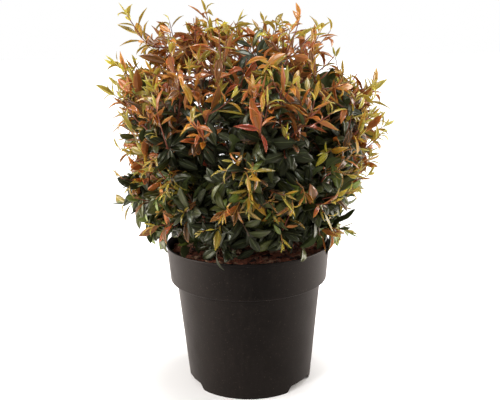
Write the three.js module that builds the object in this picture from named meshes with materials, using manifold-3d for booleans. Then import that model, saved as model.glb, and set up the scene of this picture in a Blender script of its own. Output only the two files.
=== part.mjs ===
// A potted photinia shrub. One short stem carries three leaders and a ring of low boughs, side boughs
// fork off the leaders, and every bough ends in a mass of foliage: a stem, its shoots and their leaves.
// The shrub grows in a black nursery pot that is filled with soil.
// Millimetres, +Z up. The origin lies under the middle of the pot, and the front faces -Y.

import * as THREE from 'three';
import { mergeVertices } from 'three/addons/utils/BufferGeometryUtils.js';
import Module from 'manifold-3d';

// Every piece stands this far off the one that carries it.
const clearance = 0.3;

// Corners nearer to each other than this are one corner.
const weldDistance = 1e-3;

// The pot, measured on its outside.
const potHeight = 208;
const rimRadius = 120;
const rimRound = 1.5;
const collarHeight = 50.2;
const collarFootRadius = 115.2;
const shoulderDrop = 53.9;
const shoulderRadius = 106.3;
const baseRadius = 91.3;
const wall = 2.6;
const potFacets = 32;

// The underside stands on a middle pad and a ring of three feet with drain gaps between them.
const floorLift = 10;
const padRadius = 32;
const footWidth = 9;
const footSlope = 3;
const footCount = 3;
const footSpan = 87;
const frontFootAngle = -6;
const drainGapHeight = 9;

const soilDrop = 12;

// The short stem. Heights of the plant are given above the pot's rim from here on.
const stemFoot = clearance - soilDrop;
const stemHeight = 56;
const stemRadius = 8.2;
const flareRadius = 6.5;
const flareHeight = 7;
const stemLean = new THREE.Vector2(4, -3);

// The crown's outline: a rounded body that is widest above its middle.
const crownWidest = 192;
const crownHalfWidth = 193;
const crownTop = 324;
const crownFoot = -26;
const upperFullness = 2.4;
const lowerFullness = 2.6;
const crownRagged = 8;
const heart = new THREE.Vector3(0, 0, 132);

// Three storeys of foliage masses: how many, how high, how far out, and the first one's angle.
const storeys = [
  { name: 'top', count: 3, height: 250, reach: 80, turn: 35 },
  { name: 'middle', count: 6, height: 172, reach: 142, turn: 8 },
  { name: 'lower', count: 5, height: 60, reach: 126, turn: -20 },
];
const storeyDrift = 14;

// Where each storey's boughs end, and how thick they are there and at their fork.
const boughs = {
  top: { height: 158, reach: 42, root: 6.4, tip: 3.6, rise: 0.9 },
  middle: { height: 120, reach: 72, root: 4.4, tip: 2.9, rise: 0.5 },
  lower: { height: 38, reach: 64, root: 4.8, tip: 2.9, rise: 0.25 },
};
const leaderFork = 0.9;
const sideForks = [0.24, 0.46];
const lowForks = [0.42, 0.7, 0.5, 0.78, 0.58];
const forkRise = 0.3;
const forkTurn = 0.62;
const boughSlack = 0.36;
const stemSlack = 0.4;

// Foliage. The leaves are larger than life, because there are fewer than on the real shrub.
const shootCount = 98;
const shootRadius = 1.7;
const shootSwell = 1.25;
const shootLean = 48;
const shootDrift = 16;
const shootRise = 0.35;
const lowestTip = 8;
const leafReach = 36;
const massSlack = 0.33;
const shootSlack = 0.3;

// Each shoot has leaves in a spiral round it and one more at its end.
const leavesPerShoot = 5;
const leafLength = 68;
const leafWidth = 30;
const leafWaist = 0.5;
const leafLift = 1.2;
const leafDroop = 0.06;
const leafSink = 0.3;
const leafSpread = 48;
const firstLeafShare = 0.3;
const lastLeaf = { share: 0.985, size: 0.9, spread: 12 };
const goldenAngle = Math.PI * (3 - Math.sqrt(5));

// A leaf that would cross another tries again, further round, wider and a little shorter.
const leafTries = 15;
const tryTurn = 0.85;
const trySpread = 8;
const tryShrink = 0.025;
const bladeStart = 7;

// How far leaves and shoots keep from a space's border, from the limbs and from the pot.
const borderGap = 0.6;
const limbGap = 0.5;
const potGap = 2;

// Each of these numbers picks one repeatable row of chances.
const spaceSeed = 14;
const shootSeed = 29;
const leafSeed = 123;

// Long shoots that stand out of the crown: how far right, forward and up their tips are.
const strayTips = [
  { right: -176, forward: 20, up: 334 },
  { right: -60, forward: 0, up: 344 },
  { right: 52, forward: 20, up: 326 },
  { right: 118, forward: 30, up: 312 },
  { right: -196, forward: 20, up: 262 },
  { right: -206, forward: 20, up: 217 },
  { right: 204, forward: 10, up: 224 },
  { right: 219, forward: 0, up: 156 },
  { right: 178, forward: 10, up: 92 },
  { right: -188, forward: 30, up: 45 },
  { right: 30, forward: -208, up: 205 },
  { right: -70, forward: 205, up: 190 },
  { right: 149, forward: 25, up: -4 },
];

const wasm = await Module();
wasm.setup();

const degrees = Math.PI / 180;
const up = new THREE.Vector3(0, 0, 1);

// Repeatable chance: one seed always gives the same row of numbers between 0 and 1.
function chance(seed) {
  let state = seed >>> 0;
  return () => {
    state = (state + 0x6d2b79f5) >>> 0;
    let mixed = Math.imul(state ^ (state >>> 15), state | 1);
    mixed ^= mixed + Math.imul(mixed ^ (mixed >>> 7), mixed | 61);
    return ((mixed ^ (mixed >>> 14)) >>> 0) / 4294967296;
  };
}

// A point at an angle from the front, turning towards +X.
function around(angle, reach, height) {
  return new THREE.Vector3(reach * Math.sin(angle), -reach * Math.cos(angle), height);
}

// Only positions, each corner once, and no triangle that has shrunk to a line.
function welded(geometry) {
  geometry.deleteAttribute('normal');
  geometry.deleteAttribute('uv');
  const merged = mergeVertices(geometry, weldDistance);
  const corners = merged.index.array;
  const kept = [];
  for (let i = 0; i < corners.length; i += 3) {
    const [a, b, c] = corners.slice(i, i + 3);
    if (a !== b && b !== c && c !== a) kept.push(a, b, c);
  }
  merged.setIndex(kept);
  return merged;
}

function solid(geometry) {
  const closed = welded(geometry);
  const vertProperties = new Float32Array(closed.attributes.position.array);
  const triVerts = new Uint32Array(closed.index.array);
  return new wasm.Manifold(new wasm.Mesh({ numProp: 3, vertProperties, triVerts }));
}

// The largest body of a solid: loose scraps are dropped and sealed hollows are filled.
function oneBody(shape) {
  const bodies = shape.decompose();
  return bodies.reduce((largest, body) => (body.volume() > largest.volume() ? body : largest));
}

function geometryOf(shape) {
  const mesh = shape.getMesh();
  const geometry = new THREE.BufferGeometry();
  geometry.setAttribute('position', new THREE.BufferAttribute(mesh.vertProperties, 3));
  geometry.setIndex(new THREE.BufferAttribute(mesh.triVerts, 1));
  geometry.computeVertexNormals();
  return geometry;
}

function part(name, shape, material) {
  const mesh = new THREE.Mesh(geometryOf(shape), material);
  mesh.name = name;
  return mesh;
}

// A round limb along a curve. radiusAt gives its radius at each share of its length.
function limb(curve, radiusAt, sides, steps) {
  const profile = [new THREE.Vector2(0, 0)];
  for (let i = 0; i <= steps; i += 1) profile.push(new THREE.Vector2(radiusAt(i / steps), i));
  profile.push(new THREE.Vector2(0, steps));
  const geometry = new THREE.LatheGeometry(profile, sides);
  const frames = curve.computeFrenetFrames(steps);
  const position = geometry.attributes.position;
  for (let i = 0; i < position.count; i += 1) {
    const step = Math.round(position.getY(i));
    const point = curve.getPointAt(step / steps);
    point.addScaledVector(frames.binormals[step], position.getX(i));
    point.addScaledVector(frames.normals[step], position.getZ(i));
    position.setXYZ(i, point.x, point.y, point.z);
  }
  return solid(geometry);
}

function tapered(root, tip) {
  return (share) => THREE.MathUtils.lerp(root, tip, share);
}

// The outside radius of the pot's body below the collar.
function bodyRadius(height) {
  return THREE.MathUtils.mapLinear(height, 0, potHeight - shoulderDrop, baseRadius, shoulderRadius);
}

// A solid turned round the pot's axis from its section.
function turned(points) {
  const geometry = new THREE.LatheGeometry(points, potFacets);
  geometry.rotateX(Math.PI / 2);
  return solid(geometry);
}

// The pot's inside below the rim, shrunk by a gap: the wall's inner face and the soil share it.
function insideLine(path, gap) {
  const inset = wall + gap;
  const collarFoot = potHeight - collarHeight;
  const shoulder = potHeight - shoulderDrop + inset;
  const floor = floorLift + inset;
  path.lineTo(collarFootRadius - inset, collarFoot);
  path.quadraticCurveTo(collarFootRadius - inset, shoulder, bodyRadius(shoulder) - inset, shoulder);
  path.lineTo(bodyRadius(floor) - inset, floor);
  path.lineTo(0, floor);
}

// A gap in the foot ring that is wider at the ground, seen from outside and pushed through inwards.
function drainGap(angle) {
  const halfAngle = (180 / footCount - footSpan / 2) * degrees;
  const halfWidth = baseRadius * Math.sin(halfAngle);
  const below = 5;
  const outline = new THREE.Shape();
  outline.moveTo(-halfWidth - footSlope, -below);
  outline.lineTo(halfWidth + footSlope, -below);
  outline.lineTo(halfWidth - footSlope, drainGapHeight);
  outline.lineTo(footSlope - halfWidth, drainGapHeight);
  outline.closePath();
  const depth = 3 * footWidth;
  const geometry = new THREE.ExtrudeGeometry(outline, { depth, bevelEnabled: false });
  geometry.rotateX(Math.PI / 2);
  geometry.translate(0, depth / 2 - baseRadius + footWidth / 2, 0);
  geometry.rotateZ(angle);
  return solid(geometry);
}

function potSolid() {
  const collarFoot = potHeight - collarHeight;
  const shoulder = potHeight - shoulderDrop;
  const footInside = baseRadius - footWidth;
  const section = new THREE.Path();
  section.moveTo(0, 0);
  section.lineTo(padRadius, 0);
  section.lineTo(padRadius + footSlope, floorLift);
  section.lineTo(footInside - footSlope, floorLift);
  section.lineTo(footInside, 0);
  section.lineTo(baseRadius, 0);
  section.lineTo(shoulderRadius, shoulder);
  section.quadraticCurveTo(collarFootRadius, shoulder, collarFootRadius, collarFoot);
  section.lineTo(rimRadius, potHeight - rimRound);
  section.absarc(rimRadius - rimRound, potHeight - rimRound, rimRound, 0, Math.PI, false);
  insideLine(section, 0);
  let pot = turned(section.getPoints(2));
  for (let i = 0; i < footCount; i += 1) {
    const angle = (frontFootAngle + (i + 0.5) * (360 / footCount)) * degrees;
    pot = pot.subtract(drainGap(angle));
  }
  return pot;
}

function soilSolid() {
  const top = potHeight - soilDrop;
  const collarShare = 1 - soilDrop / collarHeight;
  const topRadius = THREE.MathUtils.lerp(collarFootRadius, rimRadius, collarShare);
  const section = new THREE.Path();
  section.moveTo(0, top);
  section.lineTo(topRadius - wall - clearance, top);
  insideLine(section, clearance);
  return turned(section.getPoints(2).reverse());
}

// The crown's half width at a height above the rim.
function crownRadius(height) {
  const above = height > crownWidest;
  const span = above ? crownTop - crownWidest : crownWidest - crownFoot;
  const fullness = above ? upperFullness : lowerFullness;
  const share = Math.min(1, Math.abs(height - crownWidest) / span);
  return crownHalfWidth * (1 - share ** fullness) ** (1 / fullness);
}

function inCrown(point) {
  return Math.hypot(point.x, point.y) <= crownRadius(point.z) + crownRagged;
}

// How far the crown reaches from its heart in a direction.
function crownReach(direction) {
  let near = 0;
  let far = crownTop + crownHalfWidth;
  for (let i = 0; i < 24; i += 1) {
    const middle = (near + far) / 2;
    if (inCrown(heart.clone().addScaledVector(direction, middle))) near = middle;
    else far = middle;
  }
  return near;
}

// The space of one mass: all that is nearer to its middle than to any other mass's middle.
function makeSpaces() {
  const random = chance(spaceSeed);
  const drift = () => (random() * 2 - 1) * storeyDrift;
  const spaces = [];
  for (const storey of storeys) {
    for (let i = 0; i < storey.count; i += 1) {
      const angle = (storey.turn + (i * 360) / storey.count + drift()) * degrees;
      const middle = around(angle, storey.reach + drift(), storey.height + drift());
      spaces.push({ name: `${storey.name}_${i + 1}`, storey: storey.name, index: i, angle, middle });
    }
  }
  return spaces;
}

// How deep a point lies inside a space.
function depthInside(point, space, spaces) {
  let depth = Infinity;
  for (const other of spaces) {
    if (other === space) continue;
    const away = space.middle.clone().sub(other.middle);
    const border = space.middle.clone().add(other.middle).multiplyScalar(0.5);
    depth = Math.min(depth, point.clone().sub(border).dot(away) / away.length());
  }
  return depth;
}

// Straight pieces of a curve with the radius of each, to measure clearances from.
function strip(curve, radiusAt, steps) {
  const pieces = [];
  for (let i = 0; i < steps; i += 1) {
    pieces.push({
      start: curve.getPointAt(i / steps),
      end: curve.getPointAt((i + 1) / steps),
      radius: radiusAt(i / steps),
    });
  }
  return pieces;
}

// The least distance between two straight pieces.
function pieceDistance(first, second) {
  const alongFirst = first.end.clone().sub(first.start);
  const alongSecond = second.end.clone().sub(second.start);
  const between = first.start.clone().sub(second.start);
  const a = alongFirst.dot(alongFirst);
  const b = alongFirst.dot(alongSecond);
  const c = alongSecond.dot(alongSecond);
  const d = alongFirst.dot(between);
  const e = alongSecond.dot(between);
  const spread = a * c - b * b;
  let s = spread > 1e-9 ? THREE.MathUtils.clamp((b * e - c * d) / spread, 0, 1) : 0;
  const t = THREE.MathUtils.clamp((b * s + e) / c, 0, 1);
  s = THREE.MathUtils.clamp((b * t - d) / a, 0, 1);
  const onFirst = first.start.clone().addScaledVector(alongFirst, s);
  const onSecond = second.start.clone().addScaledVector(alongSecond, t);
  return onFirst.distanceTo(onSecond);
}

function clearOf(piece, pieces) {
  return pieces.every((other) => pieceDistance(piece, other) > piece.radius + other.radius + limbGap);
}

// Whether a straight line between two points stays over or outside the pot's rim.
function clearOfPot(start, end, gap) {
  for (let i = 0; i <= 10; i += 1) {
    const point = start.clone().lerp(end, i / 10);
    const outside = Math.hypot(point.x, point.y) > rimRadius + gap;
    if (!outside && point.z < gap) return false;
  }
  return true;
}

// A curve that leaves and arrives in given directions.
function bend(start, startDirection, end, endDirection, slack) {
  const length = start.distanceTo(end) * slack;
  const first = start.clone().addScaledVector(startDirection, length);
  const second = end.clone().addScaledVector(endDirection, -length);
  return new THREE.CubicBezierCurve3(start, first, second, end);
}

// The direction out of the crown at a space, tilted up by the storey's rise.
function outward(angle, rise) {
  return around(angle, Math.cos(rise), Math.sin(rise)).normalize();
}

function makeStem() {
  const foot = new THREE.Vector3(0, 0, stemFoot);
  const top = new THREE.Vector3(stemLean.x, stemLean.y, stemFoot + stemHeight);
  const radiusAt = (share) => stemRadius + flareRadius * Math.exp((-share * stemHeight) / flareHeight);
  return { name: 'stem', curve: bend(foot, up, top, up, stemSlack), radiusAt, sides: 10, steps: 8 };
}

// Where a bough forks off: leaders and low boughs off the stem, side boughs off the leaders.
function forkOf(space, stem, leaders) {
  if (space.storey === 'top') return { parent: stem, share: leaderFork };
  if (space.storey === 'lower') return { parent: stem, share: lowForks[space.index] };
  return { parent: leaders[Math.floor(space.index / 2)], share: sideForks[space.index % 2] };
}

// The stem and every bough, each with its curve and its radius along it.
function makeLimbs(spaces) {
  const stem = makeStem();
  const limbs = [stem];
  const leaders = [];
  for (const space of spaces) {
    const { parent, share } = forkOf(space, stem, leaders);
    const size = boughs[space.storey];
    const start = parent.curve.getPointAt(share);
    const end = around(space.angle, size.reach, size.height);
    const away = parent.curve.getTangentAt(share);
    away.lerp(outward(space.angle, forkRise), forkTurn).normalize();
    const curve = bend(start, away, end, outward(space.angle, size.rise), boughSlack);
    const radiusAt = tapered(size.root, size.tip);
    const bough = { name: `bough_${space.name}`, curve, radiusAt, sides: 6, steps: 5 };
    limbs.push(bough);
    if (space.storey === 'top') leaders.push(bough);
    space.bough = bough;
  }
  return limbs;
}

// Each limb is cut back to stand clear of the ones before it, as a fork does.
function limbSolids(limbs) {
  const swollen = [];
  const solids = [];
  for (const { curve, radiusAt, sides, steps } of limbs) {
    let shape = limb(curve, radiusAt, sides, steps);
    for (const other of swollen) shape = shape.subtract(other);
    solids.push(oneBody(shape));
    const wider = (share) => radiusAt(share) + clearance / Math.cos(Math.PI / sides);
    swollen.push(limb(curve, wider, sides, steps));
  }
  return solids;
}

// Places for shoot tips, spread evenly over the crown, each given to the space it lies in.
function shootTips(spaces) {
  const random = chance(shootSeed);
  const tips = [];
  for (const { right, forward, up: rise } of strayTips) {
    const end = new THREE.Vector3(right, -forward, rise);
    const direction = end.clone().sub(heart).normalize();
    const tip = end.clone().addScaledVector(direction, -leafLength * 0.8);
    tips.push({ tip, direction, stray: true });
  }
  for (let i = 0; i < shootCount; i += 1) {
    const height = 1 - (2 * (i + 0.5)) / shootCount;
    const angle = i * goldenAngle + (random() - 0.5) * 0.25;
    const level = Math.sqrt(1 - height * height);
    const direction = new THREE.Vector3(level * Math.cos(angle), level * Math.sin(angle), height);
    const reach = crownReach(direction) - leafReach + (random() - 0.6) * shootDrift;
    const tip = heart.clone().addScaledVector(direction, reach);
    if (tip.z > lowestTip) tips.push({ tip, direction, stray: false });
  }
  for (const entry of tips) {
    const depths = spaces.map((space) => depthInside(entry.tip, space, spaces));
    entry.space = spaces[depths.indexOf(Math.max(...depths))];
  }
  return tips;
}

// The stem that carries a mass on from its bough's tip to near the crown's surface.
function massStem(space) {
  const leaving = space.bough.curve.getTangentAt(1);
  const start = space.bough.curve.getPointAt(1).addScaledVector(leaving, clearance);
  const direction = space.middle.clone().sub(heart).normalize();
  const end = heart.clone().addScaledVector(direction, crownReach(direction) - leafReach * 1.3);
  const curve = bend(start, leaving, end, direction, massSlack);
  const root = boughs[space.storey].tip;
  return { curve, radiusAt: tapered(root, shootRadius) };
}

// A shoot leaves the stem at about half a right angle and turns up and out towards its tip.
function shootCurve(stem, tip, direction) {
  let best = 0.1;
  let leastMiss = Infinity;
  for (let share = 0.1; share < 0.96; share += 0.05) {
    const reach = tip.clone().sub(stem.curve.getPointAt(share));
    const lean = reach.angleTo(stem.curve.getTangentAt(share)) / degrees;
    const miss = Math.abs(lean - shootLean) + reach.length() * 0.2;
    if (miss < leastMiss) {
      leastMiss = miss;
      best = share;
    }
  }
  const start = stem.curve.getPointAt(best);
  const end = tip.clone();
  const leaving = end.clone().sub(start).normalize().add(stem.curve.getTangentAt(best)).normalize();
  const arriving = direction.clone().addScaledVector(up, shootRise).normalize();
  return bend(start, leaving, end, arriving, shootSlack);
}

// One leaf with four faces: a keel from root to tip, and an edge on either side of its waist.
function leafShape(root, along, face, length) {
  const geometry = new THREE.TetrahedronGeometry(1);
  const position = geometry.attributes.position;
  const side = face.clone().cross(along);
  for (let i = 0; i < position.count; i += 1) {
    const onKeel = position.getZ(i) > 0;
    const sign = Math.sign(position.getX(i));
    const share = onKeel ? (sign + 1) / 2 : leafWaist;
    const point = root.clone().addScaledVector(along, share * length);
    point.addScaledVector(side, onKeel ? 0 : (sign * leafWidth) / 2);
    point.addScaledVector(face, onKeel ? -share * leafDroop * length : leafLift);
    position.setXYZ(i, point.x, point.y, point.z);
  }
  return geometry;
}

function pointsOf(geometry) {
  const position = geometry.attributes.position;
  const points = [];
  for (let i = 0; i < position.count; i += 1) {
    points.push(new THREE.Vector3().fromBufferAttribute(position, i));
  }
  return points;
}

// The directions of the leaf at a place on its shoot: where it points, and where its top faces.
function leafPose(tangent, turn, spread) {
  const level = new THREE.Vector3().crossVectors(tangent, up).normalize();
  const lifted = new THREE.Vector3().crossVectors(level, tangent);
  const radial = level.multiplyScalar(Math.cos(turn)).addScaledVector(lifted, Math.sin(turn));
  const along = tangent.clone().multiplyScalar(Math.cos(spread)).addScaledVector(radial, Math.sin(spread));
  const face = tangent.clone().addScaledVector(along, -tangent.dot(along)).normalize();
  return { along, face };
}

// The shoots of one mass, without those that would leave its space or touch a limb or the pot.
function massShoots(space, spaces, stem, tips, limbPieces) {
  const radiusAt = tapered(shootRadius * shootSwell, shootRadius);
  const shoots = [];
  for (const { tip, direction, stray } of tips.filter((entry) => entry.space === space)) {
    const curve = shootCurve(stem, tip, direction);
    const pieces = strip(curve, radiusAt, 4);
    const inside = pieces.every(({ end }) => depthInside(end, space, spaces) > shootRadius + borderGap);
    const free = pieces.slice(1).every((piece) => clearOf(piece, limbPieces));
    const overPot = pieces.every(({ start, end }) => clearOfPot(start, end, 2 * shootRadius));
    if (inside && free && overPot) shoots.push({ curve, radiusAt, stray });
  }
  return shoots;
}

// A leaf's place on its shoot, how long it is and how far it stands off. The last one ends the shoot.
function leafSeat(curve, index, random) {
  const last = index === leavesPerShoot;
  const spiralShare = firstLeafShare + ((1 - firstLeafShare) * (index + 0.3)) / leavesPerShoot;
  const share = last ? lastLeaf.share : spiralShare;
  return {
    place: curve.getPointAt(share),
    tangent: curve.getTangentAt(share),
    size: leafLength * (last ? lastLeaf.size : 0.85 + 0.25 * random()),
    spread: last ? lastLeaf.spread : leafSpread + 20 * random(),
  };
}

// Whether a leaf stays in its space and in the crown, and clear of the limbs and of the pot.
function leafFits(points, root, piece, mass) {
  if (!points.every((point) => depthInside(point, mass.space, mass.spaces) > borderGap)) return false;
  if (!mass.stray && !points.every((point) => inCrown(point))) return false;
  for (const point of points) {
    if (!clearOfPot(root, point, potGap) || !clearOfPot(points[0], point, potGap)) return false;
  }
  return clearOf(piece, mass.limbPieces);
}

// The leaf that finds room at its seat, or nothing. Past its root it may not cross the mass so far.
function leafWithRoom(seat, firstTurn, shape, mass) {
  for (let attempt = 0; attempt < leafTries; attempt += 1) {
    const turn = firstTurn + attempt * tryTurn;
    const spread = (seat.spread + (attempt % 3) * trySpread) * degrees;
    const length = seat.size * (1 - tryShrink * attempt);
    const { along, face } = leafPose(seat.tangent, turn, spread);
    const root = seat.place.clone().addScaledVector(along, -leafSink);
    const tip = root.clone().addScaledVector(along, length);
    const leaf = leafShape(root, along, face, length);
    const piece = { start: root, end: tip, radius: leafWidth / 2 };
    if (!leafFits(pointsOf(leaf), root, piece, mass)) continue;
    const bladeRoot = seat.place.clone().addScaledVector(along, bladeStart);
    const blade = solid(leafShape(bladeRoot, along, face, length - bladeStart));
    if (blade.intersect(shape).isEmpty()) return solid(leaf);
  }
  return null;
}

// All of one mass: its stem, then its shoots, then their leaves from each shoot's end inwards.
function massSolid(space, spaces, limbs, tips, seed) {
  const random = chance(seed);
  const limbPieces = limbs.flatMap(({ curve, radiusAt, steps }) => strip(curve, radiusAt, steps * 2));
  const stem = massStem(space);
  const shoots = massShoots(space, spaces, stem, tips, limbPieces);
  let shape = limb(stem.curve, stem.radiusAt, 4, 4);
  for (const { curve, radiusAt } of shoots) shape = shape.add(limb(curve, radiusAt, 3, 2));
  for (const { curve, stray } of shoots) {
    const firstTurn = random() * 2 * Math.PI;
    for (let index = leavesPerShoot; index >= 0; index -= 1) {
      const seat = leafSeat(curve, index, random);
      const turn = firstTurn + index * goldenAngle;
      const leaf = leafWithRoom(seat, turn, shape, { space, spaces, limbPieces, stray });
      if (leaf) shape = shape.add(leaf);
    }
  }
  return oneBody(solid(geometryOf(oneBody(shape))));
}

const blackPlastic = new THREE.MeshStandardMaterial({ color: 0x2b2826, roughness: 0.5, metalness: 0 });
const barkChips = new THREE.MeshStandardMaterial({ color: 0x4a2f24, roughness: 0.95, metalness: 0 });
const bark = new THREE.MeshStandardMaterial({ color: 0x5c4434, roughness: 0.85, metalness: 0 });
const foliage = {
  top: new THREE.MeshStandardMaterial({ color: 0xa9622f, roughness: 0.4, metalness: 0 }),
  middle: new THREE.MeshStandardMaterial({ color: 0x8a5a2c, roughness: 0.4, metalness: 0 }),
  lower: new THREE.MeshStandardMaterial({ color: 0x33472a, roughness: 0.4, metalness: 0 }),
};

const spaces = makeSpaces();
const limbs = makeLimbs(spaces);
const tips = shootTips(spaces);

const shrub = new THREE.Group();
shrub.position.z = potHeight;
limbSolids(limbs).forEach((shape, i) => shrub.add(part(limbs[i].name, shape, bark)));
spaces.forEach((space, i) => {
  const shape = massSolid(space, spaces, limbs, tips, leafSeed + i);
  shrub.add(part(`foliage_${space.name}`, shape, foliage[space.storey]));
});

const group = new THREE.Group();
group.add(part('pot', potSolid(), blackPlastic));
group.add(part('soil', soilSolid(), barkChips));
group.add(shrub);

export default group;
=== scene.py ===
import math

import bmesh
import bpy
import numpy as np
from mathutils import Matrix, Vector, noise


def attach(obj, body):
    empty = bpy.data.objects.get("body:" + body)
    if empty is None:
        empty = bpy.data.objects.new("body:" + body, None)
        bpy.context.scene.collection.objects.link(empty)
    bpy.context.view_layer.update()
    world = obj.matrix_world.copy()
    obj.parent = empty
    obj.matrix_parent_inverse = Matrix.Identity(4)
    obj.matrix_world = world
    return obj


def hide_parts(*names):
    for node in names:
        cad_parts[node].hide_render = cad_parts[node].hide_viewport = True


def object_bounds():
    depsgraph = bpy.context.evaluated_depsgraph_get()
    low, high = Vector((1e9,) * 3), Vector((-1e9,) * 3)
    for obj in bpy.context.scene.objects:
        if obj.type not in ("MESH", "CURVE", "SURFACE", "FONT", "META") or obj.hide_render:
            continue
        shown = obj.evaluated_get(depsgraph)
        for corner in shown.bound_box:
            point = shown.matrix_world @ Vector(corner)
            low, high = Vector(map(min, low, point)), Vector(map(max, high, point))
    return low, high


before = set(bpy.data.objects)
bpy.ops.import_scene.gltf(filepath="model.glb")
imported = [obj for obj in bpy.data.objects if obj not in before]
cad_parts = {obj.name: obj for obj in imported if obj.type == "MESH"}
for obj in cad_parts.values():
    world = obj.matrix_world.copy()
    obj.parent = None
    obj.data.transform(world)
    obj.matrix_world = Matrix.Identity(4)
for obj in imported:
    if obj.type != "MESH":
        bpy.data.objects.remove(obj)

cad_low, cad_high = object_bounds()
scene = bpy.context.scene

# The pot, measured on its outside.
POT_HEIGHT = 0.208
RIM_RADIUS = 0.120
COLLAR_HEIGHT = 0.0502
COLLAR_FOOT_RADIUS = 0.1152
SHOULDER_HEIGHT = POT_HEIGHT - 0.0539
SHOULDER_RADIUS = 0.1063
BASE_RADIUS = 0.0913
WALL = 0.0026
RIM_WIDTH = 0.003
LIP_HEIGHT = 0.0032
LIP_DEPTH = 0.0007
POT_STEPS = 180
SHARP_ANGLE = 34

# Under the pot: a middle pad and a ring of feet with drain gaps between them.
FLOOR_LIFT = 0.010
PAD_RADIUS = 0.032
FOOT_WIDTH = 0.009
FOOT_SLOPE = 0.003
FOOT_TOP = 0.012
FOOT_COUNT = 3
FOOT_SPAN = 87
FRONT_FOOT_ANGLE = -6
DRAIN_GAP_HEIGHT = 0.009

# Soil and its top dressing of bark chips.
SOIL_TOP = POT_HEIGHT - 0.012
SOIL_RADIUS = 0.1152
SOIL_RINGS = 26
SOIL_STEPS = 110
CHIP_SEED = 77
CHIPS = {"count": 1500, "long": 0.0125, "rise": 0.0028}
CRUMBS = {"count": 2600, "long": 0.0036, "rise": 0.0016}
CHIP_WEAR = 0.22

# How chips are cut: length, width, thickness and the number that their wear starts from.
CHIP_CUTS = ((1, 0.55, 0.24, 1), (1, 0.38, 0.3, 2), (1, 0.75, 0.2, 3))

# The soil's lumps: how close together and how high.
SOIL_LUMPS = ((90, 0.0022), (260, 0.0012))

# The short stem and the boughs.
CLEARANCE = 0.0003
STEM_FOOT = SOIL_TOP + CLEARANCE
STEM_HEIGHT = 0.056
STEM_RADIUS = 0.0082
FLARE_RADIUS = 0.0065
FLARE_HEIGHT = 0.007
STEM_LEAN = (0.004, -0.003)
BOUGHS = {
    "top": {"height": 0.158, "reach": 0.042, "root": 0.0064, "tip": 0.0036, "rise": 0.9},
    "middle": {"height": 0.120, "reach": 0.072, "root": 0.0044, "tip": 0.0029, "rise": 0.5},
    "lower": {"height": 0.038, "reach": 0.064, "root": 0.0048, "tip": 0.0029, "rise": 0.25},
}
LEADER_FORK = 0.9
SIDE_FORKS = (0.24, 0.46)
LOW_FORKS = (0.42, 0.7, 0.5, 0.78, 0.58)
FORK_RISE = 0.3
FORK_TURN = 0.62
BOUGH_SLACK = 0.36
STEM_SLACK = 0.4

# The crown's outline, a rounded body that is widest above its middle. Heights are above the rim.
CROWN_WIDEST = 0.192
CROWN_HALF_WIDTH = 0.193
CROWN_TOP = 0.324
CROWN_FOOT = -0.026
UPPER_FULLNESS = 2.4
LOWER_FULLNESS = 2.6
CROWN_RAGGED = 0.008
REACH_STEPS = 24
HEART = np.array([0, 0, POT_HEIGHT + 0.132])

# Three storeys of foliage masses: how many, how high, how far out, and the first one's angle.
STOREYS = {
    "top": {"count": 3, "height": 0.250, "reach": 0.080, "turn": 35},
    "middle": {"count": 6, "height": 0.172, "reach": 0.142, "turn": 8},
    "lower": {"count": 5, "height": 0.060, "reach": 0.126, "turn": -20},
}
STOREY_DRIFT = 14

# Shoots, and the places on them where the solids have one large leaf each.
SHOOT_COUNT = 98
SHOOT_RADIUS = 0.0017
SHOOT_LEAN = 48
SHOOT_DRIFT = 0.016
SHOOT_RISE = 0.35
LOWEST_TIP = 0.008
LEAF_REACH = 0.036
MASS_SLACK = 0.33
SHOOT_SLACK = 0.3
SEATS_PER_SHOOT = 5
SEAT_LENGTH = 0.068
SEAT_SPREAD = 48
FIRST_SEAT_SHARE = 0.3
LAST_SEAT = {"share": 0.985, "size": 0.9, "spread": 12}
GOLDEN_ANGLE = math.pi * (3 - math.sqrt(5))
SPACE_SEED = 14
SHOOT_SEED = 29
SEAT_SEED = 123
LEAF_SEED = 500

# Long shoots that stand out of the crown: how far right, forward and up their tips are, and what
# they wear, a kind of young sprig by its number or grown green leaves.
STRAYS = (
    (-0.176, 0.020, 0.334, 3), (-0.060, 0.000, 0.344, 0), (0.052, 0.020, 0.326, 0),
    (0.118, 0.030, 0.312, 2), (-0.196, 0.020, 0.262, 3), (-0.206, 0.020, 0.217, 3),
    (0.204, 0.010, 0.224, 1), (0.219, 0.000, 0.156, 3), (0.178, 0.010, 0.092, "green"),
    (-0.188, 0.030, 0.045, "green"), (0.030, -0.208, 0.205, 0), (-0.070, 0.205, 0.190, 2),
    (0.149, 0.025, -0.004, "green"),
)

UP = np.array([0.0, 0.0, 1.0])
FULL_TURN = 2 * math.pi
CURVE_MARKS = 201

# The camera stands where the photograph was taken: a little above the crown's middle, looking down.
CAMERA_PLACE = (0.0039, -0.9995, 0.488)
CAMERA_LENS = 50.5
SENSOR_WIDTH = 36
CAMERA_PITCH = 0.2161
CAMERA_ROLL = 0.0165


def add_object(name, data):
    made = bpy.data.objects.new(name, data)
    scene.collection.objects.link(made)
    return made


def make_camera():
    data = bpy.data.cameras.new("camera")
    data.sensor_width = SENSOR_WIDTH
    data.lens = CAMERA_LENS
    camera = add_object("camera", data)
    tilt = Matrix.Rotation(math.pi / 2 - CAMERA_PITCH, 4, "X")
    roll = Matrix.Rotation(-CAMERA_ROLL, 4, "Z")
    camera.matrix_world = Matrix.Translation(CAMERA_PLACE) @ tilt @ roll
    scene.camera = camera


make_camera()


# Small helpers for chance, directions and curves.

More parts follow.
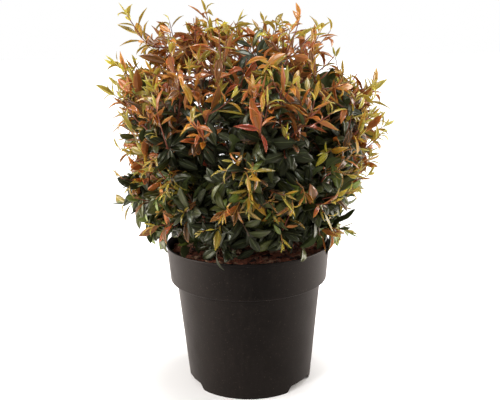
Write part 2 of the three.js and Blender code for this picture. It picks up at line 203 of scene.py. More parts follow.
def chance(seed):
    """The same row of numbers between 0 and 1 each time, dealt as the solids' rule deals them."""
    mask = 0xFFFFFFFF
    state = seed & mask

    def draw():
        nonlocal state
        state = (state + 0x6D2B79F5) & mask
        mixed = ((state ^ (state >> 15)) * (state | 1)) & mask
        mixed ^= (mixed + (((mixed ^ (mixed >> 7)) * (mixed | 61)) & mask)) & mask
        return ((mixed ^ (mixed >> 14)) & mask) / 4294967296

    return draw


def unit(vector):
    return vector / np.linalg.norm(vector)


def around(angle, reach, height):
    """A point at an angle from the front, turning towards +X."""
    return np.array([reach * math.sin(angle), -reach * math.cos(angle), height])


def outward(angle, rise):
    return around(angle, math.cos(rise), math.sin(rise))


def smooth_step(value, low, high):
    share = min(1.0, max(0.0, (value - low) / (high - low)))
    return share * share * (3 - 2 * share)


class Bend:
    """A curve that leaves and arrives in given directions, read by its share of length."""

    def __init__(self, start, leaving, end, arriving, slack):
        handle = np.linalg.norm(end - start) * slack
        self.corners = np.array([start, start + leaving * handle, end - arriving * handle, end])
        self.marks = np.linspace(0, 1, CURVE_MARKS)
        steps = np.linalg.norm(np.diff(self.raw(self.marks), axis=0), axis=1)
        self.run = np.concatenate([[0], np.cumsum(steps)])

    def raw(self, t):
        t = np.asarray(t)[..., None]
        a, b, c, d = self.corners
        return (1 - t) ** 3 * a + 3 * (1 - t) ** 2 * t * b + 3 * (1 - t) * t * t * c + t ** 3 * d

    def mark(self, share):
        return np.interp(np.asarray(share) * self.run[-1], self.run, self.marks)

    def at(self, share):
        return self.raw(self.mark(share))

    def heading(self, share):
        t = float(self.mark(share))
        a, b, c, d = self.corners
        return unit((1 - t) ** 2 * (b - a) + 2 * (1 - t) * t * (c - b) + t * t * (d - c))

    def pose(self, share, turn, degrees):
        """Where a leaf or sprig points and faces, at a turn round the curve and a spread from it."""
        heading, spread = self.heading(share), math.radians(degrees)
        level = unit(np.cross(heading, UP))
        radial = level * math.cos(turn) + np.cross(level, heading) * math.sin(turn)
        along = heading * math.cos(spread) + radial * math.sin(spread)
        return along, unit(heading - along * (heading @ along))


# The crown's rule, as the solids grow by it.

def crown_radius(height):
    above = height > CROWN_WIDEST
    span = CROWN_TOP - CROWN_WIDEST if above else CROWN_WIDEST - CROWN_FOOT
    fullness = UPPER_FULLNESS if above else LOWER_FULLNESS
    share = min(1.0, abs(height - CROWN_WIDEST) / span)
    return CROWN_HALF_WIDTH * (1 - share ** fullness) ** (1 / fullness)


def crown_reach(direction):
    """How far the crown reaches from its heart, found by halving."""
    near, far = 0.0, CROWN_TOP + CROWN_HALF_WIDTH
    for _ in range(REACH_STEPS):
        middle = (near + far) / 2
        x, y, z = HEART + direction * middle
        if math.hypot(x, y) <= crown_radius(z - POT_HEIGHT) + CROWN_RAGGED:
            near = middle
        else:
            far = middle
    return near


def make_spaces():
    """The middle of each foliage mass, spread over the three storeys."""
    draw = chance(SPACE_SEED)
    spaces = []
    for storey, row in STOREYS.items():
        for index in range(row["count"]):
            turn = row["turn"] + index * 360 / row["count"] + (draw() * 2 - 1) * STOREY_DRIFT
            reach = row["reach"] + (draw() * 2 - 1) * STOREY_DRIFT / 1000
            height = row["height"] + (draw() * 2 - 1) * STOREY_DRIFT / 1000
            space = {"name": f"{storey}_{index + 1}", "storey": storey, "index": index}
            space["angle"] = math.radians(turn)
            space["middle"] = around(space["angle"], reach, height + POT_HEIGHT)
            spaces.append(space)
    return spaces


def make_limbs(spaces):
    """The stem and every bough: a curve and its radius at a share of its length."""
    def stem_radius(share):
        return STEM_RADIUS + FLARE_RADIUS * math.exp(-share * STEM_HEIGHT / FLARE_HEIGHT)

    foot = np.array([0, 0, STEM_FOOT])
    top = np.array([*STEM_LEAN, STEM_FOOT + STEM_HEIGHT])
    stem = {"name": "stem", "curve": Bend(foot, UP, top, UP, STEM_SLACK), "radius": stem_radius}
    limbs = [stem]
    leaders = []
    for space in spaces:
        size = BOUGHS[space["storey"]]
        parent, share = stem, LEADER_FORK
        if space["storey"] == "middle":
            parent, share = leaders[space["index"] // 2], SIDE_FORKS[space["index"] % 2]
        if space["storey"] == "lower":
            share = LOW_FORKS[space["index"]]
        start = parent["curve"].at(share)
        end = around(space["angle"], size["reach"], size["height"] + POT_HEIGHT)
        heading = parent["curve"].heading(share)
        away = unit(heading + (outward(space["angle"], FORK_RISE) - heading) * FORK_TURN)
        curve = Bend(start, away, end, outward(space["angle"], size["rise"]), BOUGH_SLACK)
        radius = taper(size["root"], size["tip"])
        bough = {"name": f"bough_{space['name']}", "curve": curve, "radius": radius}
        limbs.append(bough)
        space["bough"] = curve
        if space["storey"] == "top":
            leaders.append(bough)
    return limbs


def taper(root, tip):
    return lambda share: root + (tip - root) * share


def shoot_tips():
    """Where every shoot ends, where it points and what it wears, with the long strays first."""
    draw = chance(SHOOT_SEED)
    tips = []
    for right, forward, rise, wear in STRAYS:
        end = np.array([right, -forward, rise + POT_HEIGHT])
        direction = unit(end - HEART)
        tips.append((end - direction * SEAT_LENGTH * 0.8, direction, wear))
    for i in range(SHOOT_COUNT):
        height = 1 - 2 * (i + 0.5) / SHOOT_COUNT
        angle = i * GOLDEN_ANGLE + (draw() - 0.5) * 0.25
        level = math.sqrt(1 - height * height)
        direction = np.array([level * math.cos(angle), level * math.sin(angle), height])
        reach = crown_reach(direction) - LEAF_REACH + (draw() - 0.6) * SHOOT_DRIFT
        tip = HEART + direction * reach
        if tip[2] - POT_HEIGHT > LOWEST_TIP:
            tips.append((tip, direction, None))
    return tips


def mass_stem(space):
    """The stem that carries a mass on from its bough's tip."""
    bough = space["bough"]
    direction = unit(space["middle"] - HEART)
    end = HEART + direction * (crown_reach(direction) - LEAF_REACH * 1.3)
    return Bend(bough.at(1), bough.heading(1), end, direction, MASS_SLACK)


def shoot_curve(stem, tip, direction):
    """A shoot leaves its stem at about half a right angle and turns up and out."""
    best, least = 0.1, math.inf
    for step in range(18):
        share = 0.1 + 0.05 * step
        reach = tip - stem.at(share)
        distance = np.linalg.norm(reach)
        lean = math.degrees(math.acos(np.clip(reach @ stem.heading(share) / distance, -1, 1)))
        miss = abs(lean - SHOOT_LEAN) + distance * 200
        if miss < least:
            best, least = share, miss
    start = stem.at(best)
    leaving = unit(unit(tip - start) + stem.heading(best))
    return Bend(start, leaving, tip, unit(direction + UP * SHOOT_RISE), SHOOT_SLACK)


# Colours are given as they look in daylight and turned into light values here.

def light_value(channel):
    share = channel / 255
    return share / 12.92 if share <= 0.04045 else ((share + 0.055) / 1.055) ** 2.4


def colour(tone):
    return (*map(light_value, tone), 1.0)


def feed(node, inputs):
    """Links each named input of a node to a socket, or gives it a value."""
    for name, source in inputs.items():
        if isinstance(source, bpy.types.NodeSocket):
            node.id_data.links.new(source, node.inputs[name])
        else:
            node.inputs[name].default_value = source


def add_node(tree, kind, inputs):
    node = tree.nodes.new(kind)
    feed(node, inputs)
    return node


def make_group(name, sockets, output, output_kind):
    """An empty shader node group with named sockets, what it is given and its way out."""
    group = bpy.data.node_groups.new(name, "ShaderNodeTree")
    for socket, kind in sockets.items():
        group.interface.new_socket(name=socket, in_out="INPUT", socket_type=kind)
    group.interface.new_socket(name=output, in_out="OUTPUT", socket_type=output_kind)
    return group, group.nodes.new("NodeGroupInput").outputs, group.nodes.new("NodeGroupOutput")


def patches_group():
    """Soft patches on a surface: noise squeezed between two levels into a mask."""
    sockets = dict.fromkeys(("Vector", "Scale", "Detail", "Low", "High"), "NodeSocketFloat")
    sockets["Vector"] = "NodeSocketVector"
    group, given, leave = make_group("soft_patches", sockets, "Mask", "NodeSocketFloat")
    cloud_inputs = {name: given[name] for name in ("Vector", "Scale", "Detail")}
    cloud = add_node(group, "ShaderNodeTexNoise", cloud_inputs)
    squeeze = group.nodes.new("ShaderNodeMapRange")
    squeeze.interpolation_type = "SMOOTHSTEP"
    feed(squeeze, {"Value": cloud.outputs["Fac"], "From Min": given["Low"], "From Max": given["High"]})
    feed(leave, {"Mask": squeeze.outputs["Result"]})
    return group


def blend_group():
    """Two colours blended by a mask."""
    sockets = {"Mask": "NodeSocketFloat", "Ground": "NodeSocketColor", "Over": "NodeSocketColor"}
    group, given, leave = make_group("two_tones", sockets, "Color", "NodeSocketColor")
    mix = group.nodes.new("ShaderNodeMix")
    mix.data_type = "RGBA"
    feed(mix, {"Factor": given["Mask"], "A": given["Ground"], "B": given["Over"]})
    feed(leave, {"Color": mix.outputs["Result"]})
    return group


SOFT_PATCHES = patches_group()
TWO_TONES = blend_group()


def add_group(tree, group, inputs):
    node = tree.nodes.new("ShaderNodeGroup")
    node.node_tree = group
    feed(node, inputs)
    return node.outputs[0]


def add_patches(tree, vector, scale, low, high, detail):
    inputs = {"Vector": vector, "Scale": scale, "Detail": detail, "Low": low, "High": high}
    return add_group(tree, SOFT_PATCHES, inputs)


def layered(tree, ground, *layers):
    """A ground colour with others laid over it, each by its mask."""
    surface = colour(ground)
    for mask, over in layers:
        surface = add_group(tree, TWO_TONES, {"Mask": mask, "Ground": surface, "Over": colour(over)})
    return surface


def object_place(tree, stretch=(1, 1, 1)):
    source = tree.nodes.new("ShaderNodeTexCoord").outputs["Object"]
    return add_node(tree, "ShaderNodeMapping", {"Vector": source, "Scale": stretch}).outputs["Vector"]


def add_range(tree, value, low, high, first=0.0, last=1.0):
    inputs = {"Value": value, "From Min": first, "From Max": last, "To Min": low, "To Max": high}
    return add_node(tree, "ShaderNodeMapRange", inputs).outputs["Result"]


def add_bump(tree, height, strength, distance):
    inputs = {"Height": height, "Strength": strength, "Distance": distance}
    return add_node(tree, "ShaderNodeBump", inputs).outputs["Normal"]


def new_material(name):
    material = bpy.data.materials.new(name)
    material.use_nodes = True
    return material, material.node_tree, material.node_tree.nodes["Principled BSDF"]


def pot_plastic():
    """Charcoal plastic with a warm bloom of dust, drawn marks down its sides and a fine grain."""
    material, tree, shader = new_material("pot_plastic")
    place = object_place(tree)
    bloom = add_patches(tree, place, 26, 0.42, 0.78, 6)
    marks = add_patches(tree, object_place(tree, (60, 60, 3)), 4, 0.45, 0.75, 3)
    specks = add_patches(tree, place, 700, 0.66, 0.74, 2)
    grain = add_patches(tree, place, 1500, 0.2, 0.8, 2)
    layers = (bloom, (19, 15, 13)), (marks, (20, 16, 14)), (specks, (66, 56, 48))
    feed(shader, {
        "Base Color": layered(tree, (14, 11, 10), *layers),
        "Roughness": add_range(tree, bloom, 0.42, 0.52),
        "Specular IOR Level": 0.24,
        "Specular Tint": (1.0, 0.9, 0.84, 1.0),
        "Normal": add_bump(tree, grain, 0.12, 0.0002),
    })
    return material


def soil_mix():
    """Dark lumpy soil with lighter fibres."""
    material, tree, shader = new_material("soil_mix")
    place = object_place(tree)
    lumps = add_patches(tree, place, 190, 0.35, 0.65, 8)
    fibres = add_patches(tree, place, 620, 0.5, 0.7, 4)
    feed(shader, {
        "Base Color": layered(tree, (52, 40, 36), (lumps, (98, 74, 63)), (fibres, (124, 96, 80))),
        "Roughness": 0.95,
        "Normal": add_bump(tree, lumps, 0.8, 0.002),
    })
    return material


def bark_skin():
    """Grey-brown bark with lengthwise cracks, cork freckles and a warm flush where it is young."""
    material, tree, shader = new_material("bark_skin")
    place = object_place(tree)
    cracks = add_patches(tree, object_place(tree, (1, 1, 0.25)), 520, 0.46, 0.62, 6)
    freckles = add_patches(tree, place, 900, 0.64, 0.72, 2)
    flush = add_patches(tree, place, 40, 0.45, 0.7, 3)
    layers = (cracks, (112, 90, 70)), (flush, (92, 62, 40)), (freckles, (158, 138, 112))
    feed(shader, {
        "Base Color": layered(tree, (66, 50, 38), *layers),
        "Roughness": add_range(tree, cracks, 0.92, 0.7),
        "Normal": add_bump(tree, cracks, 0.5, 0.0008),
    })
    return material


def plain_finish(name, tone, roughness, specular=0.5, more=None):
    """One colour all over; more inputs of the shader can be given by name."""
    material, _, shader = new_material(name)
    feed(shader, {"Base Color": colour(tone), "Roughness": roughness, "Specular IOR Level": specular})
    feed(shader, more or {})
    return material


# Leaf tones: a leaf's edge, its middle beside the rib, and the family it belongs to.
LEAF_TONES = {
    # The darkest green is the old leaves' own, and is also laid as painted shade on green leaves in
    # hollows and at the crown's foot.
    "night_green": ((30, 31, 17), (35, 37, 19), "green"),
    "deep_green": ((43, 45, 21), (51, 54, 24), "green"),
    "moss": ((58, 59, 26), (68, 70, 30), "green"),
    "leaf_green": ((74, 84, 32), (88, 99, 39), "green"),
    "fresh_green": ((96, 109, 41), (112, 127, 50), "green"),
    "olive": ((108, 90, 19), (121, 105, 25), "lime"),
    "gold": ((144, 101, 20), (152, 113, 26), "lime"),
    "lime": ((146, 134, 23), (160, 150, 31), "lime"),
    "pale_lime": ((174, 160, 42), (186, 174, 56), "lime"),
    "dull_gold": ((112, 84, 32), (106, 88, 36), "lime"),
    "bronze": ((100, 55, 18), (92, 59, 20), "copper"),
    "umber": ((70, 46, 24), (64, 48, 25), "copper"),
    "copper": ((150, 75, 23), (136, 79, 25), "copper"),
    "amber": ((170, 100, 26), (166, 110, 32), "copper"),
    "rust": ((146, 59, 23), (130, 62, 23), "copper"),
    "red": ((128, 40, 23), (112, 43, 24), "copper"),
}
RIBS = {"green": (74, 82, 40), "lime": (174, 160, 66), "copper": (150, 92, 42)}
UNDERSIDES = {"green": (62, 70, 34), "lime": (142, 130, 48), "copper": (130, 78, 34)}
SHEENS = {"green": (0.80, 0.95, 0.62, 1.0), "lime": (1.0, 0.98, 0.8, 1.0), "copper": (1.0, 0.9, 0.76, 1.0)}

# Roughness and coat of grown, young and shaded leaves.
GROWN_GLOSS = (0.40, 0.48)
YOUNG_GLOSS = (0.46, 0.62)
SHADED_GLOSS = (0.48, 0.26)
COAT_ROUGHNESS = 0.15
LEAF_SPECULAR = 0.3

# Thin young leaves glow a little where light comes from behind.
GLOW = {"Subsurface Weight": 0.22, "Subsurface Radius": (1.0, 0.6, 0.3), "Subsurface Scale": 0.003}


def leaf_finishes():
    """Every leaf material, in slot order: edges, middles, ribs, undersides."""
    finishes = []
    for part in (0, 1):
        for tone, (*colours, family) in LEAF_TONES.items():
            roughness, coat = GROWN_GLOSS if family == "green" else YOUNG_GLOSS
            if tone == "night_green":
                roughness, coat = SHADED_GLOSS
            more = {"Coat Weight": coat, "Coat Roughness": COAT_ROUGHNESS, "Specular Tint": SHEENS[family]}
            more.update({} if family == "green" else GLOW)
            name = f"leaf_{tone}_{part + 1}"
            finishes.append(plain_finish(name, colours[part], roughness, LEAF_SPECULAR, more))
    for family, tone in RIBS.items():
        finishes.append(plain_finish(f"rib_{family}", tone, 0.5))
    for family, tone in UNDERSIDES.items():
        more = {} if family == "green" else GLOW
        finishes.append(plain_finish(f"underside_{family}", tone, 0.62, LEAF_SPECULAR, more))
    return finishes


TONE_ORDER = list(LEAF_TONES)
FAMILY_ORDER = list(RIBS)
LEAF_FINISHES = leaf_finishes()

TWIG_TONES = {"woody": (88, 66, 50), "red_brown": (112, 54, 32), "young": (160, 110, 50)}
TWIG_ORDER = list(TWIG_TONES)
TWIG_FINISHES = [plain_finish(f"twig_{name}", tone, 0.55) for name, tone in TWIG_TONES.items()]

CHIP_TONES = {"rust": (146, 90, 70), "umber": (104, 68, 55), "tan": (170, 132, 108), "char": (62, 45, 39)}
CHIP_FINISHES = [plain_finish(f"chip_{name}", tone, 0.9, 0.25) for name, tone in CHIP_TONES.items()]


# Meshes: small shapes are made once, then gathered many times into one mesh.

class Gathered:
    """Corners and faces of many small shapes on their way into one mesh."""

    def __init__(self):
        self.shapes = []
        self.count = 0

    def add(self, corners, loops, sizes, slots, smooth):
        self.shapes.append((corners, loops + self.count, sizes, slots, smooth))
        self.count += len(corners)

    def add_copies(self, shape, frames, slots):
        """Copies of one shape, each with its own 3 by 4 frame and its own row of slots."""
        copies = len(frames)
        placed = np.einsum("nij,vj->nvi", frames[:, :, :3], shape["corners"]) + frames[:, None, :, 3]
        offsets = np.arange(copies)[:, None] * len(shape["corners"])
        loops = (shape["loops"][None, :] + offsets).ravel()
        chosen = np.take_along_axis(slots, np.tile(shape["kinds"], (copies, 1)), axis=1).ravel()
        sizes = np.tile(shape["sizes"], copies)
        self.add(placed.reshape(-1, 3), loops, sizes, chosen, np.tile(shape["smooth"], copies))

    def piece(self, name, materials, slot, *nodes):
        corners, loops, sizes, slots, smooth = (np.concatenate(rows) for rows in zip(*self.shapes))
        starts = np.concatenate([[0], np.cumsum(sizes)[:-1]])
        mesh = bpy.data.meshes.new(name)
        mesh.vertices.add(len(corners))
        mesh.vertices.foreach_set("co", corners.astype(np.float32).ravel())
        mesh.loops.add(len(loops))
        mesh.loops.foreach_set("vertex_index", loops.astype(np.int32))
        mesh.polygons.add(len(sizes))
        mesh.polygons.foreach_set("loop_start", starts.astype(np.int32))
        mesh.polygons.foreach_set("material_index", slots.astype(np.int32))
        mesh.polygons.foreach_set("use_smooth", smooth.astype(bool))
        mesh.update(calc_edges=True)
        add_piece(mesh, materials, nodes)


def arrays_of(bm):
    """A finished shape as arrays, with each face's material number as its kind. Frees the bmesh."""
    bm.verts.index_update()
    shape = {
        "corners": np.array([vert.co[:] for vert in bm.verts]),
        "loops": np.array([vert.index for face in bm.faces for vert in face.verts]),
        "sizes": np.array([len(face.verts) for face in bm.faces]),
        "kinds": np.array([face.material_index for face in bm.faces]),
        "smooth": np.array([face.smooth for face in bm.faces]),
    }
    bm.free()
    return shape


def mesh_of(bm, name):
    mesh = bpy.data.meshes.new(name)
    bm.to_mesh(mesh)
    bm.free()
    return mesh


def add_piece(mesh, materials, nodes):
    """Puts a finished mesh in the scene as a piece of the plant."""
    for material in materials:
        mesh.materials.append(material)
    piece = add_object(mesh.name, mesh)
    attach(piece, "root")
    if nodes:
        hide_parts(*nodes)


def smooth_piece(bm, name, material, node):
    for face in bm.faces:
        face.smooth = True
    add_piece(mesh_of(bm, name), [material], [node])


# Leaves. One is a closed blade: an upper side folded along its rib, and a flatter underside.

EDGE, MIDDLE, RIB, UNDER = range(4)
STALK_END = 0.1
STALK_WIDTH = 0.07
BLADE_SWELL = 0.14
BLADE_DEPTH = 0.012
WAVE_TURN = 11
TIP_START = 0.3


class LeafForm:
    """How one kind of leaf is cut and bent. Lengths are shares of the leaf's length."""

    def __init__(self, width, fold, droop, twist, wave, belly, tip):
        self.width, self.fold, self.droop, self.twist = width, fold, droop, twist
        self.wave, self.belly, self.tip = wave, belly, tip

    def outline(self, share):
        """Half width at a share of the length: a short stalk, then an oval that ends in a point."""
        if share < STALK_END:
            return STALK_WIDTH * (1 if share > 0 else 0.6)
        if share == 1:
            return 0.0
        blade = (share - STALK_END * 0.6) / (1 - STALK_END * 0.6)
        return max(STALK_WIDTH, math.sin(math.pi * blade ** self.belly) ** self.tip)

    def point(self, across, share, over):
        half = self.width / 2 * self.outline(share)
        x = across * half
        wave = math.sin(share * WAVE_TURN + (2 if across > 0 else 0))
        z = abs(x) * math.tan(self.fold)
        z += self.wave * self.width * across * across * wave
        if over:
            z += BLADE_SWELL * half * (1 - (2 * abs(across) - 1) ** 2)
        else:
            z -= BLADE_DEPTH * (1 - abs(across)) * self.outline(share)
        turn = self.twist * share
        x, z = x * math.cos(turn) - z * math.sin(turn), x * math.sin(turn) + z * math.cos(turn)
        angle = self.droop * share
        run = math.sin(angle) / self.droop
        fall = (math.cos(angle) - 1) / self.droop
        return Vector((x, run + z * math.sin(angle), fall + z * math.cos(angle)))


def leaf_shape(form, columns, stations):
    """A closed leaf of unit length along +Y, facing +Z."""
    bm = bmesh.new()
    rows = len(stations) - 1
    for across, over in ((columns, True), ((-1, 0, 1), False)):
        strips = len(across) - 1
        made = bmesh.ops.create_grid(bm, x_segments=strips, y_segments=rows, size=0.5)["verts"]
        for face in {face for vert in made for face in vert.link_faces}:
            middle = face.calc_center_median()
            strip = int((middle.x + 0.5) * strips)
            face.material_index = strip_kind(strip, strips, middle.y > TIP_START) if over else UNDER
            face.smooth = over
        for vert in made:
            column, station = round((vert.co.x + 0.5) * strips), round((vert.co.y + 0.5) * rows)
            vert.co = form.point(across[column], stations[station], over)
    bmesh.ops.remove_doubles(bm, verts=bm.verts, dist=1e-5)
    bmesh.ops.recalc_face_normals(bm, faces=bm.faces)
    return arrays_of(bm)


def strip_kind(strip, strips, at_tip):
    """The rib runs in the middle strip; the strips beside it are the leaf's middle, save at its tip."""
    if strip == strips // 2:
        return RIB
    beside = abs(strip - strips // 2) == 1
    return MIDDLE if beside and strips > 3 and not at_tip else EDGE


# Where a leaf's mesh has its columns across and its stations along, on large and small leaves.
LARGE_GRID = (-1, -0.5, -0.04, 0.04, 0.5, 1), (0, 0.1, 0.28, 0.5, 0.72, 0.88, 1)
SMALL_GRID = (-1, -0.07, 0.07, 1), (0, 0.12, 0.42, 0.75, 1)

# How leaves are cut: width, fold, droop, twist, wave, belly and tip.
GROWN_FORMS = (
    (0.42, 0.16, 0.45, 0.0, 0.02, 0.98, 0.72),
    (0.37, 0.30, 0.80, 0.2, 0.03, 0.96, 0.80),
    (0.46, 0.12, 0.30, -0.2, 0.03, 1.02, 0.68),
    (0.40, 0.24, 1.20, -0.4, 0.03, 0.96, 0.76),
)
YOUNG_FORMS = (
    (0.27, 0.42, 0.60, 0.1, 0.03, 0.86, 1.0),
    (0.23, 0.60, 1.10, -0.4, 0.03, 0.84, 1.1),
    (0.25, 0.50, 1.90, 0.5, 0.04, 0.86, 1.1),
    (0.31, 0.30, 0.25, 0.4, 0.04, 0.90, 0.95),
    (0.22, 0.55, 2.40, -0.8, 0.05, 0.86, 1.1),
    (0.24, 0.70, -0.50, 0.7, 0.04, 0.88, 1.05),
)
NARROW_FORMS = (
    (0.19, 0.60, 0.60, 0.2, 0.0, 0.86, 1.0),
    (0.15, 0.70, 1.50, -0.4, 0.0, 0.84, 1.0),
    (0.21, 0.50, -0.50, 0.4, 0.0, 0.88, 1.0),
)
LEAF_SHAPES = [leaf_shape(LeafForm(*form), *LARGE_GRID) for form in GROWN_FORMS + YOUNG_FORMS]
LEAF_SHAPES += [leaf_shape(LeafForm(*form), *SMALL_GRID) for form in NARROW_FORMS]
GROWN = range(len(GROWN_FORMS))
YOUNG = range(GROWN.stop, GROWN.stop + len(YOUNG_FORMS))
NARROW = range(YOUNG.stop, len(LEAF_SHAPES))


def sprigs(*rows):
    """What sprigs wear: the parts of each row, divided by strokes, are choices of leaf tones."""
    return [[part.split() for part in row.split("|")] for row in rows]


# Each row has the tones of a sprig's lower leaves, of its upper leaves and of the leaves at its end.
YOUNG_SPRIGS = sprigs(
    "copper bronze copper rust | copper amber gold | gold amber olive",
    "copper amber bronze | amber gold copper | gold lime amber",
    "rust red copper | rust copper amber | amber gold olive",
    "bronze olive copper | olive gold amber | lime pale_lime lime",
    "bronze copper bronze | bronze copper olive | olive gold copper",
)
SIDE_YOUNG = sprigs(
    "olive lime bronze | lime gold olive | pale_lime lime lime",
    "copper amber gold | gold amber lime | pale_lime gold lime",
    "olive copper fresh_green | gold olive lime | lime pale_lime gold",
)
# Young sprigs low in the crown wear duller, darker tones: partly their own colour, partly painted shade
# for the light the crown above keeps from them.
LOW_YOUNG = sprigs(
    "umber bronze moss | dull_gold bronze olive | olive gold dull_gold",
    "bronze umber copper | bronze dull_gold amber | dull_gold gold olive",
    "bronze rust umber | copper bronze olive | olive dull_gold gold",
)
OLD_SPRIGS = sprigs(
    "night_green deep_green deep_green | deep_green moss deep_green | moss deep_green",
    "deep_green night_green moss | moss deep_green moss | moss leaf_green",
    "deep_green moss leaf_green | leaf_green moss fresh_green | fresh_green leaf_green",
)
OLD_CHANCES = (0.55, 0.87, 1.0)
WARM_SPRIG, GREEN_STRAY = sprigs(
    "bronze deep_green moss | copper bronze olive | amber copper",
    "moss leaf_green deep_green | leaf_green fresh_green | fresh_green olive",
)

# Each part has the tones of one hanging shoot: high in the crown, low in it and at its foot. The lower
# ones are duller and darker, partly their own colour and partly painted shade.
HIGH_HANGING, LOW_HANGING, FOOT_HANGING = sprigs(
    "gold olive amber | amber copper gold | lime olive copper | copper bronze gold | copper rust bronze",
    "olive bronze gold | olive dull_gold gold | umber bronze copper"
    " | dull_gold olive leaf_green | bronze umber gold | moss olive fresh_green",
    "olive bronze umber | moss leaf_green olive | umber bronze leaf_green"
    " | leaf_green fresh_green olive | dull_gold umber moss | moss olive fresh_green",
)
INNER_TONES = ("night_green", "night_green", "night_green", "deep_green")
HIGH_INNER_TONES = ("night_green", "night_green", "deep_green", "umber")

# Places where the crown opens and one looks into its old leaves, whose green is darkened there as painted
# shade: x, y, z and radius.
HOLLOWS = (
    (0.064, -0.158, 0.366, 0.070), (-0.058, -0.155, 0.370, 0.078), (-0.012, -0.120, 0.236, 0.052),
    (0.075, -0.110, 0.245, 0.034), (-0.070, 0.165, 0.350, 0.055), (0.085, 0.150, 0.400, 0.045),
    (-0.180, -0.040, 0.300, 0.036), (0.178, 0.050, 0.300, 0.036), (0.020, 0.150, 0.245, 0.036),
    (-0.094, -0.120, 0.451, 0.040), (0.006, -0.090, 0.480, 0.036),
)

# Places where the broad leaves of the old twigs are still coppery.
WARM_PLACES = ((-0.146, -0.078, 0.338, 0.056), (0.160, -0.050, 0.362, 0.060))

# Places at the crown's foot where only the old leaves' colour is darker, as painted shade.
SHADED_FOOT = ((-0.050, -0.130, 0.245, 0.070), (0.060, -0.110, 0.225, 0.040))

# How far leaf tips may stand from the middle: at a height, to the left and to the right.
CROWN_SIDES = (
    (0.208, 0.127, 0.138), (0.233, 0.155, 0.140), (0.257, 0.168, 0.150), (0.280, 0.170, 0.164),
    (0.305, 0.174, 0.180), (0.333, 0.176, 0.186), (0.362, 0.176, 0.190), (0.391, 0.176, 0.184),
    (0.420, 0.186, 0.188), (0.440, 0.184, 0.172), (0.460, 0.172, 0.144), (0.480, 0.158, 0.122),
    (0.502, 0.142, 0.120), (0.524, 0.148, 0.106), (0.542, 0.140, 0.092),
)
CROWN_CAP, CAP_ROLL = 0.520, 0.026
SIDE_HEIGHTS, LEFT_REACH, RIGHT_REACH = zip(*CROWN_SIDES)

# The box that no leaf leaves: that of the solids with a little room about it.
ROOM_SHARE, ROOM_EXTRA = 0.03, 0.008
room_margin = (Vector(cad_high) - Vector(cad_low)) * ROOM_SHARE + Vector([ROOM_EXTRA] * 3)
ROOM_LOW = np.array(Vector(cad_low) - room_margin)
ROOM_HIGH = np.array(Vector(cad_high) + room_margin)
POT_CLEARANCE = (0.003, 0.002)

# How far past the crown's outline tips may stand, by what they end.
OLD_TWIG_MARGIN = -0.014
OLD_MARGIN = 0.002
LOW_SIDE_MARGIN = 0.012
YOUNG_EXTRA = 0.010
YOUNG_TUFT_EXTRA = 0.014
HANGING_MARGIN = 0.006
HANGING_LEAF_MARGIN = 0.012
HANGING_TUFT_MARGIN = 0.016
STRAY_MARGIN = 0.06

# Twigs: radius at the root and at the tip, sides, steps along, and tone.
TWIGS = {
    "young": (0.0010, 0.0005, 5, 5, "red_brown"),
    "old": (0.0011, 0.0006, 5, 4, "woody"),
    "hanging": (0.0008, 0.0005, 4, 5, "young"),
    "leader": (0.0010, 0.0005, 5, 4, "red_brown"),
}
TWIG_SLACK = 0.35
HANGING_SLACK = 0.4
LEADER_SLACK = 0.3
LEADER_LENGTH = 0.036

# Stems and shoots: how many sides and rings they have.
STEM_SIDES, STEM_RINGS = 8, 13
SHOOT_SIDES, SHOOT_RINGS = 6, 9

# Old leaves inside the crown: from which share of a stem to which, and how many.
STEM_INNER = (0.05, 1.0, 26)
BOUGH_INNER = (0.45, 1.0, 12)
SHOOT_INNER = (0.1, 0.8, 16)

# How many leaves there are on a twig, or how far apart, and how long they are.
YOUNG_LEAF_STEP = 0.0088
OLD_LEAVES = 7
HANGING_LEAVES = 6
TUFT_LEAVES = 3
STRAY_LEAVES = 12
STRAY_LOWER = 7
STRAY_SEATS = 3
LEADER_LEAVES = 5
LEADER_UPPER = 3
LENGTHS = {
    "old": (0.026, 0.041),
    "old_end": (0.022, 0.032),
    "inner": (0.025, 0.039),
    "hanging": (0.016, 0.034),
    "stray": (0.034, 0.048),
    "leader": (0.026, 0.038),
    "young_tuft": (0.017, 0.025),
    "hanging_tuft": (0.013, 0.020),
}
STRAY_TUFT_LENGTH = 0.021
TUFT_DEPTH = 0.006
OLD_END_SPREAD = math.degrees(0.5)

# Low leaves at the crown's left and right ends show their faces to the front or the back.
SIDEWARD = np.array([0.0, 1.5, 0.0])
SIDEWARD_FRONT = 0.04


def height_share(point):
    return (point[2] - POT_HEIGHT) / CROWN_TOP


def depth_in(places, point):
    """How deep a point lies in one of some round places, from 0 outside to 1 in its middle."""
    deepest = 0.0
    for x, y, z, radius in places:
        distance = math.dist(point, (x, y, z))
        deepest = max(deepest, 1 - smooth_step(distance, radius * 0.4, radius))
    return deepest


def crown_share(point):
    """How far out a point lies: 0 at the heart and 1 at the crown's surface."""
    reach = point - HEART
    distance = np.linalg.norm(reach)
    return distance / crown_reach(reach / max(distance, 1e-6))


def vigour(point):
    """The chance that growth is young: high at the top and sides, low in front, inside and in hollows."""
    side = abs(point[0]) / max(0.05, math.hypot(point[0], point[1]))
    slope = 0.31 if point[0] > 0 else 0.28
    turn = 0.60 - slope * side + 0.12 * noise.noise(Vector(point) * 14)
    height = height_share(point)
    young = 0.06 + 0.20 * smooth_step(height, 0.10, 0.30)
    young += (1.0 - young) * smooth_step(height, turn - 0.15, turn + 0.08)
    young *= max(smooth_step(crown_share(point), 0.55, 0.85), smooth_step(height, 0.66, 0.80))
    return young * (1 - 0.95 * depth_in(HOLLOWS, point))


